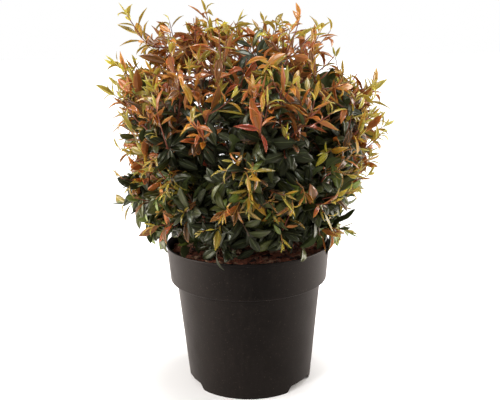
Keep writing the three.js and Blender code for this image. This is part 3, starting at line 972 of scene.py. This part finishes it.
def hanging_chance(tip):
    """The chance of a new shoot on an old twig: high in the middle storey, small at the low sides."""
    height = height_share(tip)
    side = abs(tip[0]) / math.hypot(tip[0], tip[1])
    eager = 0.45 + 0.45 * smooth_step(height, 0.12, 0.26) * (1 - smooth_step(height, 0.45, 0.60))
    low = 1 - smooth_step(height, 0.25, 0.45)
    return eager * (1 - (0.7 * side + 0.25 * smooth_step(side, 0.75, 0.95)) * low)


def keeps_to_crown(point, margin):
    """Whether a tip stays inside the crown's outline and a margin."""
    if not (np.all(point > ROOM_LOW) and np.all(point < ROOM_HIGH)):
        return False
    reach = math.hypot(point[0], point[1])
    right = (1 + point[0] / max(reach, 1e-6)) / 2
    left_limit = np.interp(point[2], SIDE_HEIGHTS, LEFT_REACH)
    right_limit = np.interp(point[2], SIDE_HEIGHTS, RIGHT_REACH)
    cap = CROWN_CAP + CAP_ROLL * noise.noise(Vector((point[0] * 22, point[1] * 22, 0.5)))
    return reach < left_limit * (1 - right) + right_limit * right + margin and point[2] < cap + margin


def clear_of_pot(start, end):
    """Whether a straight line stays over the soil or outside the rim."""
    beside, over = POT_CLEARANCE
    for share in (0, 0.25, 0.5, 0.75, 1):
        point = start + (end - start) * share
        if math.hypot(point[0], point[1]) < RIM_RADIUS + beside and point[2] < POT_HEIGHT + over:
            return False
    return True


def free_tip(place, step, parts, margin):
    """The first tip, at a part of a step from a place, that keeps to the crown and clears the pot."""
    for part in parts:
        tip = place + step * part
        if clear_of_pot(place, tip) and keeps_to_crown(tip, margin):
            return tip
    return None


def bow_down(pose, weight):
    """A leaf's pose after its own weight has bowed it."""
    along, face = pose
    along = unit(along - UP * weight)
    return along, unit(face - along * (face @ along))


def limited(share, low, high):
    return min(high, max(low, share))


class Mass:
    """The twigs and leaves of one foliage mass as they grow."""

    def __init__(self, space, seed):
        self.space = space
        self.draw = chance(seed)
        self.leaves = [[] for _ in LEAF_SHAPES]
        self.twigs = Gathered()

    def pick(self, row):
        return row[int(self.draw() * len(row)) % len(row)]

    def spread(self, low, high):
        return low + (high - low) * self.draw()

    def length(self, kind):
        return self.spread(*LENGTHS[kind])

    def add_tube(self, curve, shares, radii, sides, tone):
        """A thin closed stem along a curve, with a ring at each share of its length."""
        points = curve.at(shares)
        headings = np.gradient(points, axis=0)
        headings /= np.linalg.norm(headings, axis=1)[:, None]
        helper = np.array([0.0, 1.0, 0.0]) if abs(headings[0][2]) > 0.9 else UP
        normal = unit(np.cross(headings[0], helper))
        turns = np.linspace(0, FULL_TURN, sides, endpoint=False)
        rings = []
        for point, heading, radius in zip(points, headings, radii):
            normal = unit(normal - heading * (normal @ heading))
            across = np.cross(heading, normal)
            ring = np.outer(np.cos(turns), normal) + np.outer(np.sin(turns), across)
            rings.append(point + radius * ring)
        row = np.arange(sides)
        after = np.roll(row, -1)
        quad = np.stack([row, after, after + sides, row + sides], axis=1)
        spans = len(points) - 1
        quads = [(quad + sides * i).ravel() for i in range(spans)]
        loops = np.concatenate([*quads, row[::-1], row + sides * spans])
        sizes = np.array([4] * sides * spans + [sides, sides])
        slots = np.full(len(sizes), TWIG_ORDER.index(tone))
        self.twigs.add(np.concatenate(rings), loops, sizes, slots, np.full(len(sizes), True))

    def add_twig(self, curve, kind, end=1.0):
        root, tip, sides, steps, tone = TWIGS[kind]
        shares = np.linspace(0, end, steps + 1)
        self.add_tube(curve, shares, root + (tip - root) * shares, sides, tone)

    def add_leaf(self, shapes, root, pose, length, tone, margin=OLD_MARGIN, light=1.0):
        """Adds a leaf where it keeps to the crown and clears the pot, turned a little to the light."""
        along, face = pose
        tip = root + along * length
        if not keeps_to_crown(tip, margin) or not clear_of_pot(root, tip):
            return False
        # Green leaves in a hollow or at the crown's shaded foot take the darkest green: painted shade.
        if LEAF_TONES[tone][2] == "green" and depth_in(HOLLOWS + SHADED_FOOT, tip) > 0.3:
            tone = "night_green"
        out = tip - HEART
        out = out * (1, 1, 0) / max(np.linalg.norm(out), 0.05)
        beside = smooth_step(abs(tip[0]), 0.09, 0.13) * (1 - smooth_step(height_share(tip), 0.30, 0.45))
        sky = unit(out * 0.5 + UP + SIDEWARD * beside * (-1 if tip[1] < SIDEWARD_FRONT else 1))
        wish = face + sky * self.spread(0.3, 1.1) * light
        wish = wish - along * (wish @ along)
        if np.linalg.norm(wish) > 0.1:
            face = unit(wish)
        side = np.cross(along, face)
        roll = self.spread(-0.5, 0.5)
        across = side * math.cos(roll) + face * math.sin(roll)
        face = face * math.cos(roll) - side * math.sin(roll)
        frame_rows = np.column_stack([across * length, along * length, face * length, root])
        self.leaves[self.pick(shapes)].append((frame_rows, TONE_ORDER.index(tone)))
        return True


def end_tuft(mass, curve, tones, size, margin):
    """The small narrow leaves that end a young shoot, the innermost ones upright."""
    place, heading = curve.at(1), curve.heading(1)
    first = mass.spread(0, FULL_TURN)
    for i in range(TUFT_LEAVES):
        share = i / TUFT_LEAVES
        pose = curve.pose(1, first + i * GOLDEN_ANGLE, 14 + 34 * share + mass.spread(-10, 10))
        length = size * (0.75 + 0.4 * share + 0.25 * mass.draw())
        shapes = YOUNG if i and height_share(place) > 0.7 else NARROW
        root = place - heading * TUFT_DEPTH * share
        mass.add_leaf(shapes, root, pose, length, mass.pick(tones), margin, 0.6)


def grow_young(mass, place, along, length, margin):
    """A young shoot: coppery leaves that get smaller and yellower up to its tuft."""
    height = height_share(place)
    # Lower down the duller tones are partly the shoots' own colour and partly painted shade.
    kinds = YOUNG_SPRIGS if height > 0.46 + 0.1 * mass.draw() else LOW_YOUNG
    if abs(place[0]) > 0.12 and height > 0.35 and mass.draw() < 0.5:
        kinds = SIDE_YOUNG
    lower, upper, end = mass.pick(kinds)
    lift = UP * (0.15 + 0.9 * smooth_step(height, 0.1, 0.7)) * mass.spread(0.3, 1.1)
    tip = free_tip(place, unit(along + lift * 0.5) * length, (1, 0.75, 0.5), margin)
    if tip is None:
        return
    curve = Bend(place, along, tip, unit(along + lift), TWIG_SLACK)
    count = max(3, round(curve.run[-1] / YOUNG_LEAF_STEP))
    first = mass.spread(0, FULL_TURN)
    placed = 0
    for i in range(count):
        share = limited(0.08 + 0.86 * (i + mass.spread(-0.2, 0.2)) / count, 0.04, 0.97)
        degrees = 56 - 24 * share + mass.spread(-20, 20)
        turn = first + i * GOLDEN_ANGLE + mass.spread(-0.5, 0.5)
        weight = mass.spread(-0.15, 0.4) + 0.35 * smooth_step(height, 0.6, 0.85)
        pose = bow_down(curve.pose(share, turn, degrees), weight)
        size = (0.047 - 0.020 * share) * mass.spread(0.55, 1.16)
        tone = mass.pick(lower if share < 0.5 else upper)
        placed += mass.add_leaf(YOUNG, curve.at(share), pose, size, tone, margin + YOUNG_EXTRA, 0.7)
    if placed > 1:
        mass.add_twig(curve, "young")
        end_tuft(mass, curve, end, mass.length("young_tuft"), margin + YOUNG_TUFT_EXTRA)


def grow_old(mass, place, along, length):
    """A ripened twig: broad dark leaves and, here and there, a new shoot that hangs from its end."""
    low_side = height_share(place) < 0.36 and abs(place[0]) > 0.10
    kind = 0.83 + 0.17 * mass.draw() if low_side else mass.draw() ** 0.7
    lower, upper, end = next(sprig for sprig, limit in zip(OLD_SPRIGS, OLD_CHANCES) if kind <= limit)
    margin, scale = (LOW_SIDE_MARGIN, 1.3) if low_side else (OLD_MARGIN, 1.0)
    lift = UP * (0.7 * smooth_step(height_share(place), 0.05, 0.6) - 0.5)
    tip = free_tip(place, along * length, (0.62, 0.45, 0.3), OLD_TWIG_MARGIN)
    if tip is None:
        return
    if depth_in(WARM_PLACES, tip) > 0.2:
        lower, upper, end = WARM_SPRIG
    curve = Bend(place, along, tip, unit(along + lift), TWIG_SLACK)
    first = mass.spread(0, FULL_TURN)
    reached = 0.0
    for i in range(OLD_LEAVES):
        share = limited(0.12 + 0.82 * (i + mass.spread(-0.2, 0.2)) / OLD_LEAVES, 0.05, 0.97)
        pose = curve.pose(share, first + i * GOLDEN_ANGLE, 68 - 24 * share + mass.spread(-10, 10))
        tone = mass.pick(lower if share < 0.5 else upper)
        if mass.add_leaf(GROWN, curve.at(share), pose, mass.length("old") * scale, tone, margin):
            reached = share
    for turn in (0, math.pi):
        pose = curve.pose(1, first + turn, OLD_END_SPREAD)
        size = mass.length("old_end") * scale
        if mass.add_leaf(GROWN, curve.at(1), pose, size, mass.pick(end), margin):
            reached = 1.0
    if reached:
        mass.add_twig(curve, "old", reached)
    eager = hanging_chance(tip)
    for share in (0.9, 0.5):
        if share < reached and mass.draw() < eager * share * (1 - 0.9 * depth_in(HOLLOWS, tip)):
            hang_shoot(mass, curve.at(share), curve.heading(share))


def hang_shoot(mass, place, heading):
    """A thin new shoot that bows out and over, with narrow leaves along it."""
    out = unit(unit(place - HEART) + heading * 0.6 + UP * 0.3)
    lean = out + UP * mass.spread(-0.5, 0.35)
    tip = free_tip(place, lean, (mass.spread(0.042, 0.060), 0.034, 0.024), HANGING_MARGIN)
    if tip is None:
        return
    curve = Bend(place, out, tip, unit(out + UP * mass.spread(-1.2, 0.4)), HANGING_SLACK)
    mass.add_twig(curve, "hanging")
    height = height_share(place)
    # Lower shoots take the duller tones, partly their own colour and partly painted shade.
    tones = mass.pick(HIGH_HANGING if height > 0.45 else LOW_HANGING if height > 0.2 else FOOT_HANGING)
    first = mass.spread(0, FULL_TURN)
    for i in range(HANGING_LEAVES):
        share = 0.2 + 0.74 * i / (HANGING_LEAVES - 1)
        pose = curve.pose(share, first + i * GOLDEN_ANGLE, 46 + mass.spread(-16, 16))
        pose = bow_down(pose, mass.spread(0.0, 0.5))
        shapes = YOUNG if mass.draw() < 0.45 else NARROW
        size = mass.length("hanging") * (1.15 - 0.4 * share)
        mass.add_leaf(shapes, curve.at(share), pose, size, mass.pick(tones), HANGING_LEAF_MARGIN)
    end_tuft(mass, curve, tones, mass.length("hanging_tuft"), HANGING_TUFT_MARGIN)


def grow_sprig(mass, place, along, length, leader):
    """A side twig of a shoot, young or old by where its end comes."""
    end = place + along * length * 0.7
    if height_share(end) > 0.8 and mass.draw() < 0.28:
        return
    if mass.draw() < vigour(end):
        margin = -0.008 + 0.028 * mass.draw() ** 3 + (0.006 if leader else 0)
        if height_share(place) > 0.55:
            along = unit(along + UP * mass.spread(0.1, 0.5))
        grow_young(mass, place, along, length * mass.spread(0.62, 0.95), margin)
    elif mass.draw() > max(0.85 * depth_in(HOLLOWS, end), 0.48 - 2.4 * height_share(end)):
        grow_old(mass, place, along, length)


def grow_stray(mass, curve, wear):
    """A long shoot with single leaves well apart and a tuft at its end."""
    shapes, tones = (GROWN, GREEN_STRAY) if wear == "green" else (YOUNG, YOUNG_SPRIGS[wear])
    lower, upper, end = tones
    place, heading = curve.at(1), curve.heading(1)
    scale = 0.78 if depth_in(HOLLOWS, place) > 0 else 1.0
    first = mass.spread(0, FULL_TURN)
    for i in range(STRAY_LEAVES):
        share = 0.34 + 0.64 * i / (STRAY_LEAVES - 1)
        pose = curve.pose(share, first + i * GOLDEN_ANGLE, 60 - 22 * share + mass.spread(-8, 8))
        size = mass.length("stray") * (1.2 - 0.4 * share) * scale
        tone = mass.pick(lower if i < STRAY_LOWER else upper)
        mass.add_leaf(shapes, curve.at(share), pose, size, tone, STRAY_MARGIN)
    leader = Bend(place, heading, place + heading * LEADER_LENGTH, heading, LEADER_SLACK)
    mass.add_twig(leader, "leader")
    for i in range(LEADER_LEAVES):
        share = 0.15 + 0.17 * i
        pose = leader.pose(share, first + i * GOLDEN_ANGLE, 54 - 4 * i)
        tone = mass.pick(upper if i < LEADER_UPPER else end)
        size = mass.length("leader") * scale
        mass.add_leaf(shapes, leader.at(share), pose, size, tone, STRAY_MARGIN, 0.5)
    end_tuft(mass, leader, end, STRAY_TUFT_LENGTH, STRAY_MARGIN)


def grow_inner(mass, curve, low, high, count):
    """Old dark leaves close to a stem, inside the crown."""
    first = mass.spread(0, FULL_TURN)
    for i in range(count):
        share = low + (high - low) * (i + mass.draw()) / count
        pose = curve.pose(share, first + i * GOLDEN_ANGLE, mass.spread(50, 82))
        height = height_share(curve.at(share))
        if mass.draw() * 0.10 < height < 0.68:
            tones = HIGH_INNER_TONES if height > 0.48 else INNER_TONES
            mass.add_leaf(GROWN, curve.at(share), pose, mass.length("inner"), mass.pick(tones))


def grow_shoot(mass, stem, tip, direction, wear, draw):
    """One shoot with a sprig at each seat of the rule, and dark leaves on its inner half."""
    curve = shoot_curve(stem, tip, direction)
    stray = wear is not None
    kept = [share for share in np.linspace(0.3, 1, 15) if stray or keeps_to_crown(curve.at(share), 0.004)]
    shares = np.linspace(0, max(kept, default=0.3), SHOOT_RINGS)
    mass.add_tube(curve, shares, SHOOT_RADIUS * (0.95 - 0.5 * shares), SHOOT_SIDES, "red_brown")
    first_turn = draw() * FULL_TURN
    grow_inner(mass, curve, *SHOOT_INNER)
    if stray:
        grow_stray(mass, curve, wear)
    for index in range(SEATS_PER_SHOOT, -1, -1):
        last = index == SEATS_PER_SHOOT
        share = FIRST_SEAT_SHARE + (1 - FIRST_SEAT_SHARE) * (index + 0.3) / SEATS_PER_SHOOT
        share = LAST_SEAT["share"] if last else share
        size = SEAT_LENGTH * (LAST_SEAT["size"] if last else 0.85 + 0.25 * draw())
        spread = LAST_SEAT["spread"] if last else SEAT_SPREAD + 20 * draw()
        if stray and index >= STRAY_SEATS:
            continue
        along, _ = curve.pose(share, first_turn + index * GOLDEN_ANGLE, spread)
        grow_sprig(mass, curve.at(share), along, size, last)


def grow_mass(space, tips, seed):
    """All twigs and leaves of one mass, from its stem outwards."""
    draw = chance(seed)
    mass = Mass(space, seed + LEAF_SEED)
    stem = mass_stem(space)
    shares = np.linspace(0, 1, STEM_RINGS)
    tip_radius = BOUGHS[space["storey"]]["tip"]
    radii = tip_radius + (SHOOT_RADIUS - tip_radius) * shares
    mass.add_tube(stem, shares, radii, STEM_SIDES, "woody")
    grow_inner(mass, stem, *STEM_INNER)
    grow_inner(mass, space["bough"], *BOUGH_INNER)
    for tip, direction, wear in tips:
        if min(SPACES, key=lambda other: np.linalg.norm(tip - other["middle"])) is space:
            grow_shoot(mass, stem, tip, direction, wear, draw)
    return mass


def leaf_piece(mass):
    """The leaves of one mass as one mesh."""
    families = np.array([FAMILY_ORDER.index(LEAF_TONES[tone][2]) for tone in TONE_ORDER])
    gathered = Gathered()
    for shape, grown in zip(LEAF_SHAPES, mass.leaves):
        if not grown:
            continue
        frames = np.stack([frame_rows for frame_rows, _ in grown])
        tones = np.array([tone for _, tone in grown])
        ribs = 2 * len(TONE_ORDER) + families[tones]
        slots = np.stack([tones, tones + len(TONE_ORDER), ribs, ribs + len(FAMILY_ORDER)], axis=1)
        gathered.add_copies(shape, frames, slots)
    name, storey = mass.space["name"], mass.space["storey"]
    gathered.piece(f"leaves_{name}", LEAF_FINISHES, f"foliage_{storey}", f"foliage_{name}")


# Stem and boughs with the bark's relief: lengthwise ridges, swollen nodes and a collar at the fork.

LIMB_SIDES = 22
RING_STEP = 0.0016
NODE_STEP = 0.017
NODE_MIDDLE = 0.008
NODE_SPREAD = 0.0000022
BARK_RIDGE, BARK_GRAIN, BARK_NODE = 0.10, 0.05, 0.07
FORK_SWELL = 0.35
FORK_SWELL_LENGTH = 0.006


def bark_relief(point, angle, run, radius):
    """How far the bark stands out of a limb's smooth radius."""
    ridge = noise.noise(Vector((math.cos(angle) * 2.2, math.sin(angle) * 2.2, run * 60 + point[0] * 9)))
    grain = noise.noise(Vector(point) * 420)
    node = math.exp(-((run % NODE_STEP) - NODE_MIDDLE) ** 2 / NODE_SPREAD)
    return radius * (BARK_RIDGE * ridge + BARK_GRAIN * grain + BARK_NODE * node)


def limb_piece(limb, material):
    curve, length = limb["curve"], limb["curve"].run[-1]
    rings = max(8, round(length / RING_STEP))
    bm = bmesh.new()
    ring = bmesh.ops.create_circle(bm, cap_ends=False, radius=1, segments=LIMB_SIDES)["verts"]
    edges = bm.edges[:]
    bmesh.ops.edgeloop_fill(bm, edges=edges)
    normal = unit(np.cross(curve.heading(0), np.array([0.31, 0.95, 0.05])))
    for i in range(rings + 1):
        if i > 0:
            ring, edges = next_ring(bm, ring, edges)
        share = i / rings
        heading = curve.heading(share)
        normal = unit(normal - heading * (normal @ heading))
        across = np.cross(heading, normal)
        middle = curve.at(share)
        radius = limb["radius"](share)
        if limb["name"] != "stem":
            radius *= 1 + FORK_SWELL * math.exp(-share * length / FORK_SWELL_LENGTH)
        for number, vert in enumerate(ring):
            angle = FULL_TURN * number / LIMB_SIDES
            direction = normal * math.cos(angle) + across * math.sin(angle)
            relief = bark_relief(middle + direction * radius, angle, share * length, radius)
            vert.co = Vector(middle + direction * (radius + relief))
    bmesh.ops.edgeloop_fill(bm, edges=edges)
    bmesh.ops.recalc_face_normals(bm, faces=bm.faces)
    smooth_piece(bm, f"bark_{limb['name']}", material, limb["name"])


def next_ring(bm, ring, edges):
    """Extrudes a ring: its new corners, in the order of the old ones, and its new edges."""
    extruded = bmesh.ops.extrude_edge_only(bm, edges=edges)["geom"]
    edges = [item for item in extruded if isinstance(item, bmesh.types.BMEdge)]
    edges = [edge for edge in edges if all(vert in extruded for vert in edge.verts)]
    fresh = {vert for edge in edges for vert in edge.verts}
    ordered = []
    for vert in ring:
        partners = [edge.other_vert(vert) for edge in vert.link_edges]
        ordered.append(next(partner for partner in partners if partner in fresh))
    return ordered, edges


# The pot: its section is spun, its edges rounded, and the drain gaps lifted out of the foot ring.

def body_radius(height):
    return BASE_RADIUS + (SHOULDER_RADIUS - BASE_RADIUS) * (height / SHOULDER_HEIGHT)


def spun(section, steps):
    """A closed solid of revolution from a section that starts and ends on the axis."""
    bm = bmesh.new()
    verts = [bm.verts.new((radius, 0, height)) for radius, height in section]
    edges = [bm.edges.new(pair) for pair in zip(verts, verts[1:])]
    settings = {"cent": (0, 0, 0), "axis": (0, 0, 1), "angle": FULL_TURN, "steps": steps}
    bmesh.ops.spin(bm, geom=verts + edges, use_merge=True, use_normal_flip=False, **settings)
    bmesh.ops.remove_doubles(bm, verts=bm.verts, dist=1e-6)
    bmesh.ops.recalc_face_normals(bm, faces=bm.faces)
    return bm


def inside_section(inset):
    """The pot's inside from just under the rim down to the axis."""
    ledge = SHOULDER_HEIGHT + inset
    floor = FLOOR_LIFT + inset
    return [
        (COLLAR_FOOT_RADIUS - inset, ledge + 0.0012),
        (COLLAR_FOOT_RADIUS - inset - 0.002, ledge),
        (body_radius(ledge) - inset, ledge),
        (body_radius(floor) - inset, floor),
        (0, floor),
    ]


# The circles of the spun pot whose edges are rounded: radius, height, how far and in how many steps.
ROUNDED_CIRCLES = (
    (RIM_RADIUS, POT_HEIGHT, 0.0014, 4),
    (RIM_RADIUS - RIM_WIDTH, POT_HEIGHT, 0.0014, 4),
    (COLLAR_FOOT_RADIUS, SHOULDER_HEIGHT, 0.0028, 4),
    (SHOULDER_RADIUS, SHOULDER_HEIGHT, 0.0012, 3),
)


def round_circle(bm, radius, height, offset, segments):
    def lies_on(point):
        return abs(math.hypot(point.x, point.y) - radius) + abs(point.z - height) <= 1e-5

    edges = [edge for edge in bm.edges if all(lies_on(vert.co) for vert in edge.verts)]
    settings = {"offset_type": "OFFSET", "profile": 0.5, "affect": "EDGES", "material": -1}
    bmesh.ops.bevel(bm, geom=edges, offset=offset, segments=segments, **settings)


def drain_lift(angle):
    """How high the foot ring's underside stands at an angle: zero on a foot, the full gap between."""
    pitch = 360 / FOOT_COUNT
    from_foot = (math.degrees(angle) - FRONT_FOOT_ANGLE + pitch / 2) % pitch - pitch / 2
    past = math.radians(abs(from_foot) - FOOT_SPAN / 2) * BASE_RADIUS
    return DRAIN_GAP_HEIGHT * min(1.0, max(0.0, (past + FOOT_SLOPE) / (2 * FOOT_SLOPE)))


def make_pot(material):
    foot_inside = BASE_RADIUS - FOOT_WIDTH
    lip_foot = POT_HEIGHT - LIP_HEIGHT
    lip_radius = COLLAR_FOOT_RADIUS + (RIM_RADIUS - COLLAR_FOOT_RADIUS) * (1 - LIP_HEIGHT / COLLAR_HEIGHT)
    section = [
        (0, 0),
        (PAD_RADIUS, 0),
        (PAD_RADIUS + FOOT_SLOPE, FLOOR_LIFT),
        (foot_inside - FOOT_SLOPE, FLOOR_LIFT),
        (foot_inside, 0),
        (BASE_RADIUS, 0),
        (body_radius(FOOT_TOP), FOOT_TOP),
        (SHOULDER_RADIUS, SHOULDER_HEIGHT),
        (COLLAR_FOOT_RADIUS, SHOULDER_HEIGHT),
        (COLLAR_FOOT_RADIUS + 0.0001, POT_HEIGHT - COLLAR_HEIGHT),
        (lip_radius - LIP_DEPTH, lip_foot - 0.0006),
        (lip_radius, lip_foot),
        (RIM_RADIUS, POT_HEIGHT),
        (RIM_RADIUS - RIM_WIDTH, POT_HEIGHT),
        *inside_section(WALL),
    ]
    bm = spun(section, POT_STEPS)
    for circle in ROUNDED_CIRCLES:
        round_circle(bm, *circle)
    for vert in bm.verts:
        radius = math.hypot(vert.co.x, vert.co.y)
        if vert.co.z < 0.001 and radius > foot_inside - FOOT_SLOPE / 2:
            vert.co.z += drain_lift(math.atan2(vert.co.x, -vert.co.y))
            narrow = (body_radius(vert.co.z) / BASE_RADIUS) if radius > foot_inside + 0.001 else 1
            vert.co.x *= narrow
            vert.co.y *= narrow
    bm.normal_update()
    for edge in bm.edges:
        edge.smooth = len(edge.link_faces) == 2 and edge.calc_face_angle() < math.radians(SHARP_ANGLE)
    smooth_piece(bm, "pot_shell", material, "pot")


def make_soil(material):
    """The soil bed: level, with a lumpy top and a slight rise to the stem."""
    top = [(SOIL_RADIUS * i / SOIL_RINGS, SOIL_TOP - 0.001) for i in range(SOIL_RINGS + 1)]
    bm = spun([*top, *inside_section(WALL + CLEARANCE)], SOIL_STEPS)
    for vert in bm.verts:
        radius = math.hypot(vert.co.x, vert.co.y)
        if vert.co.z > SOIL_TOP - 0.002 and radius < SOIL_RADIUS - 0.001:
            lump = sum(noise.noise(vert.co * scale) * rise for scale, rise in SOIL_LUMPS)
            vert.co.z += lump - 0.001 + 0.003 * math.exp(-radius / 0.03)
    smooth_piece(bm, "soil_bed", material, "soil")


def chip_shape(long, wide, thick, seed):
    """One flake of bark: a thin block with worn corners."""
    bm = bmesh.new()
    bmesh.ops.create_cube(bm, size=1)
    bmesh.ops.subdivide_edges(bm, edges=bm.edges, cuts=1, use_grid_fill=True)
    for vert in bm.verts:
        wear = noise.noise_vector(vert.co * 1.7 + Vector((seed, seed * 2, 0)))
        shrink = 1 - 0.16 * max(0.0, abs(vert.co.x) + abs(vert.co.y) + abs(vert.co.z) - 1)
        vert.co = (vert.co + wear * CHIP_WEAR) * shrink
        vert.co = Vector((vert.co.x * long, vert.co.y * wide, vert.co.z * thick))
    bmesh.ops.recalc_face_normals(bm, faces=bm.faces)
    return arrays_of(bm)


def make_chips():
    """Bark chips lie loosely over the soil, with crumbs between them."""
    draw = chance(CHIP_SEED)
    noise.seed_set(CHIP_SEED)
    gathered = Gathered()
    shapes = [chip_shape(*cut) for cut in CHIP_CUTS]
    for kind in (CHIPS, CRUMBS):
        for shape in shapes:
            frames, slots = [], []
            for _ in range(kind["count"] // len(shapes)):
                size = kind["long"] * (0.55 + 0.75 * draw())
                reach = (SOIL_RADIUS - 0.003 - size * 0.5) * math.sqrt(draw())
                angle = draw() * FULL_TURN
                height = SOIL_TOP + kind["rise"] * draw() + 0.004 * math.exp(-reach / 0.03)
                turn = Matrix.Rotation(draw() * FULL_TURN, 3, "Z")
                nod = Matrix.Rotation((draw() - 0.5) * 0.9, 3, "X")
                roll = Matrix.Rotation((draw() - 0.5) * 0.7, 3, "Y")
                rows = np.array(turn @ (nod @ roll)) * size
                frames.append(np.column_stack([rows, around(angle, reach, height)]))
                slots.append([int(draw() * draw() * 1.6 * len(CHIP_TONES)) % len(CHIP_TONES)])
            gathered.add_copies(shape, np.stack(frames), np.array(slots))
    gathered.piece("bark_chips", CHIP_FINISHES, "soil")


# The shrub, the pot and what fills it.

SPACES = make_spaces()
LIMBS = make_limbs(SPACES)
TIPS = shoot_tips()

bark = bark_skin()
for limb in LIMBS:
    limb_piece(limb, bark)
for number, space in enumerate(SPACES):
    grown = grow_mass(space, TIPS, SEAT_SEED + number)
    leaf_piece(grown)
    grown.twigs.piece(f"twigs_{space['name']}", TWIG_FINISHES, "bark")
make_pot(pot_plastic())
make_soil(soil_mix())
make_chips()


# The studio: a plain pale floor, a white surround and large soft lights.

WARM_LIGHT = (1.0, 0.92, 0.85)
PANEL_TARGET = (0, 0, 0.25)


def for_rays(tree, kind, usual, special):
    """One shader for a kind of ray and the usual one for all others."""
    chosen = tree.nodes.new("ShaderNodeLightPath").outputs[kind]
    return add_node(tree, "ShaderNodeMixShader", {"Fac": chosen, 1: usual, 2: special}).outputs["Shader"]


def add_math(tree, operation, first, second=0.0):
    node = tree.nodes.new("ShaderNodeMath")
    node.operation = operation
    feed(node, {0: first, 1: second})
    return node.outputs["Value"]


def floor_paper():
    """White paper; what the pot and the leaves mirror of it is dark in front and bright beside them."""
    material = plain_finish("floor_paper", (246, 246, 246), 0.9, 0.1)
    tree = material.node_tree
    place = add_node(tree, "ShaderNodeSeparateXYZ", {"Vector": object_place(tree)}).outputs
    aside = add_math(tree, "ABSOLUTE", add_math(tree, "ADD", place["X"], -0.07))
    behind = add_math(tree, "ADD", aside, place["Y"])
    strength = add_range(tree, behind, 0.03, 1.9, -0.43, 0.75)
    glow = add_node(tree, "ShaderNodeEmission", {"Color": (1.0, 0.9, 0.84, 1.0), "Strength": strength})
    paper = tree.nodes["Principled BSDF"].outputs["BSDF"]
    surface = for_rays(tree, "Is Glossy Ray", paper, glow.outputs["Emission"])
    feed(tree.nodes["Material Output"], {"Surface": surface})
    return material


def make_floor():
    bm = bmesh.new()
    bmesh.ops.create_grid(bm, x_segments=1, y_segments=1, size=30)
    mesh = mesh_of(bm, "studio_floor")
    mesh.materials.append(floor_paper())
    add_object("studio_floor", mesh)


def add_lamp(name, kind, energy, direction):
    data = bpy.data.lights.new(name, kind)
    data.energy = energy
    lamp = add_object(name, data)
    lamp.rotation_euler = direction.to_track_quat("-Z", "Y").to_euler()
    return lamp


def make_sun(name, place, angle, strength):
    """A wide soft light from far away, so that the floor is lit evenly."""
    lamp = add_lamp(name, "SUN", strength, -Vector(place))
    lamp.data.angle = math.radians(angle)


def make_panel(name, place, width, height, power):
    """A large soft panel beside the plant."""
    lamp = add_lamp(name, "AREA", power, Vector(PANEL_TARGET) - Vector(place))
    lamp.location = place
    lamp.data.shape = "RECTANGLE"
    lamp.data.size, lamp.data.size_y = width, height
    lamp.data.color = WARM_LIGHT


def make_surround():
    """White all round to the eye, softer as a light, and softer still in the gloss of leaves."""
    world = bpy.data.worlds.new("white_surround")
    world.use_nodes = True
    tree = world.node_tree
    lit = tree.nodes["Background"]
    shine, seen = (tree.nodes.new("ShaderNodeBackground") for _ in range(2))
    for node, strength in ((lit, 0.55), (shine, 0.22), (seen, 1.0)):
        feed(node, {"Color": (1, 1, 1, 1), "Strength": strength})
    usual = for_rays(tree, "Is Glossy Ray", lit.outputs["Background"], shine.outputs["Background"])
    surface = for_rays(tree, "Is Camera Ray", usual, seen.outputs["Background"])
    feed(tree.nodes["World Output"], {"Surface": surface})
    scene.world = world


make_floor()
make_surround()
make_sun("top_sun", (0.10, 0.05, 1.0), 32, 3.3)
make_sun("key_sun", (-0.7, -0.8, 1.1), 9, 1.0)
make_panel("left_panel", (-1.3, -0.2, 0.5), 0.8, 1.2, 25)
make_panel("right_panel", (1.3, 0.3, 0.5), 0.7, 1.2, 23)
scene.view_settings.view_transform = "Standard"
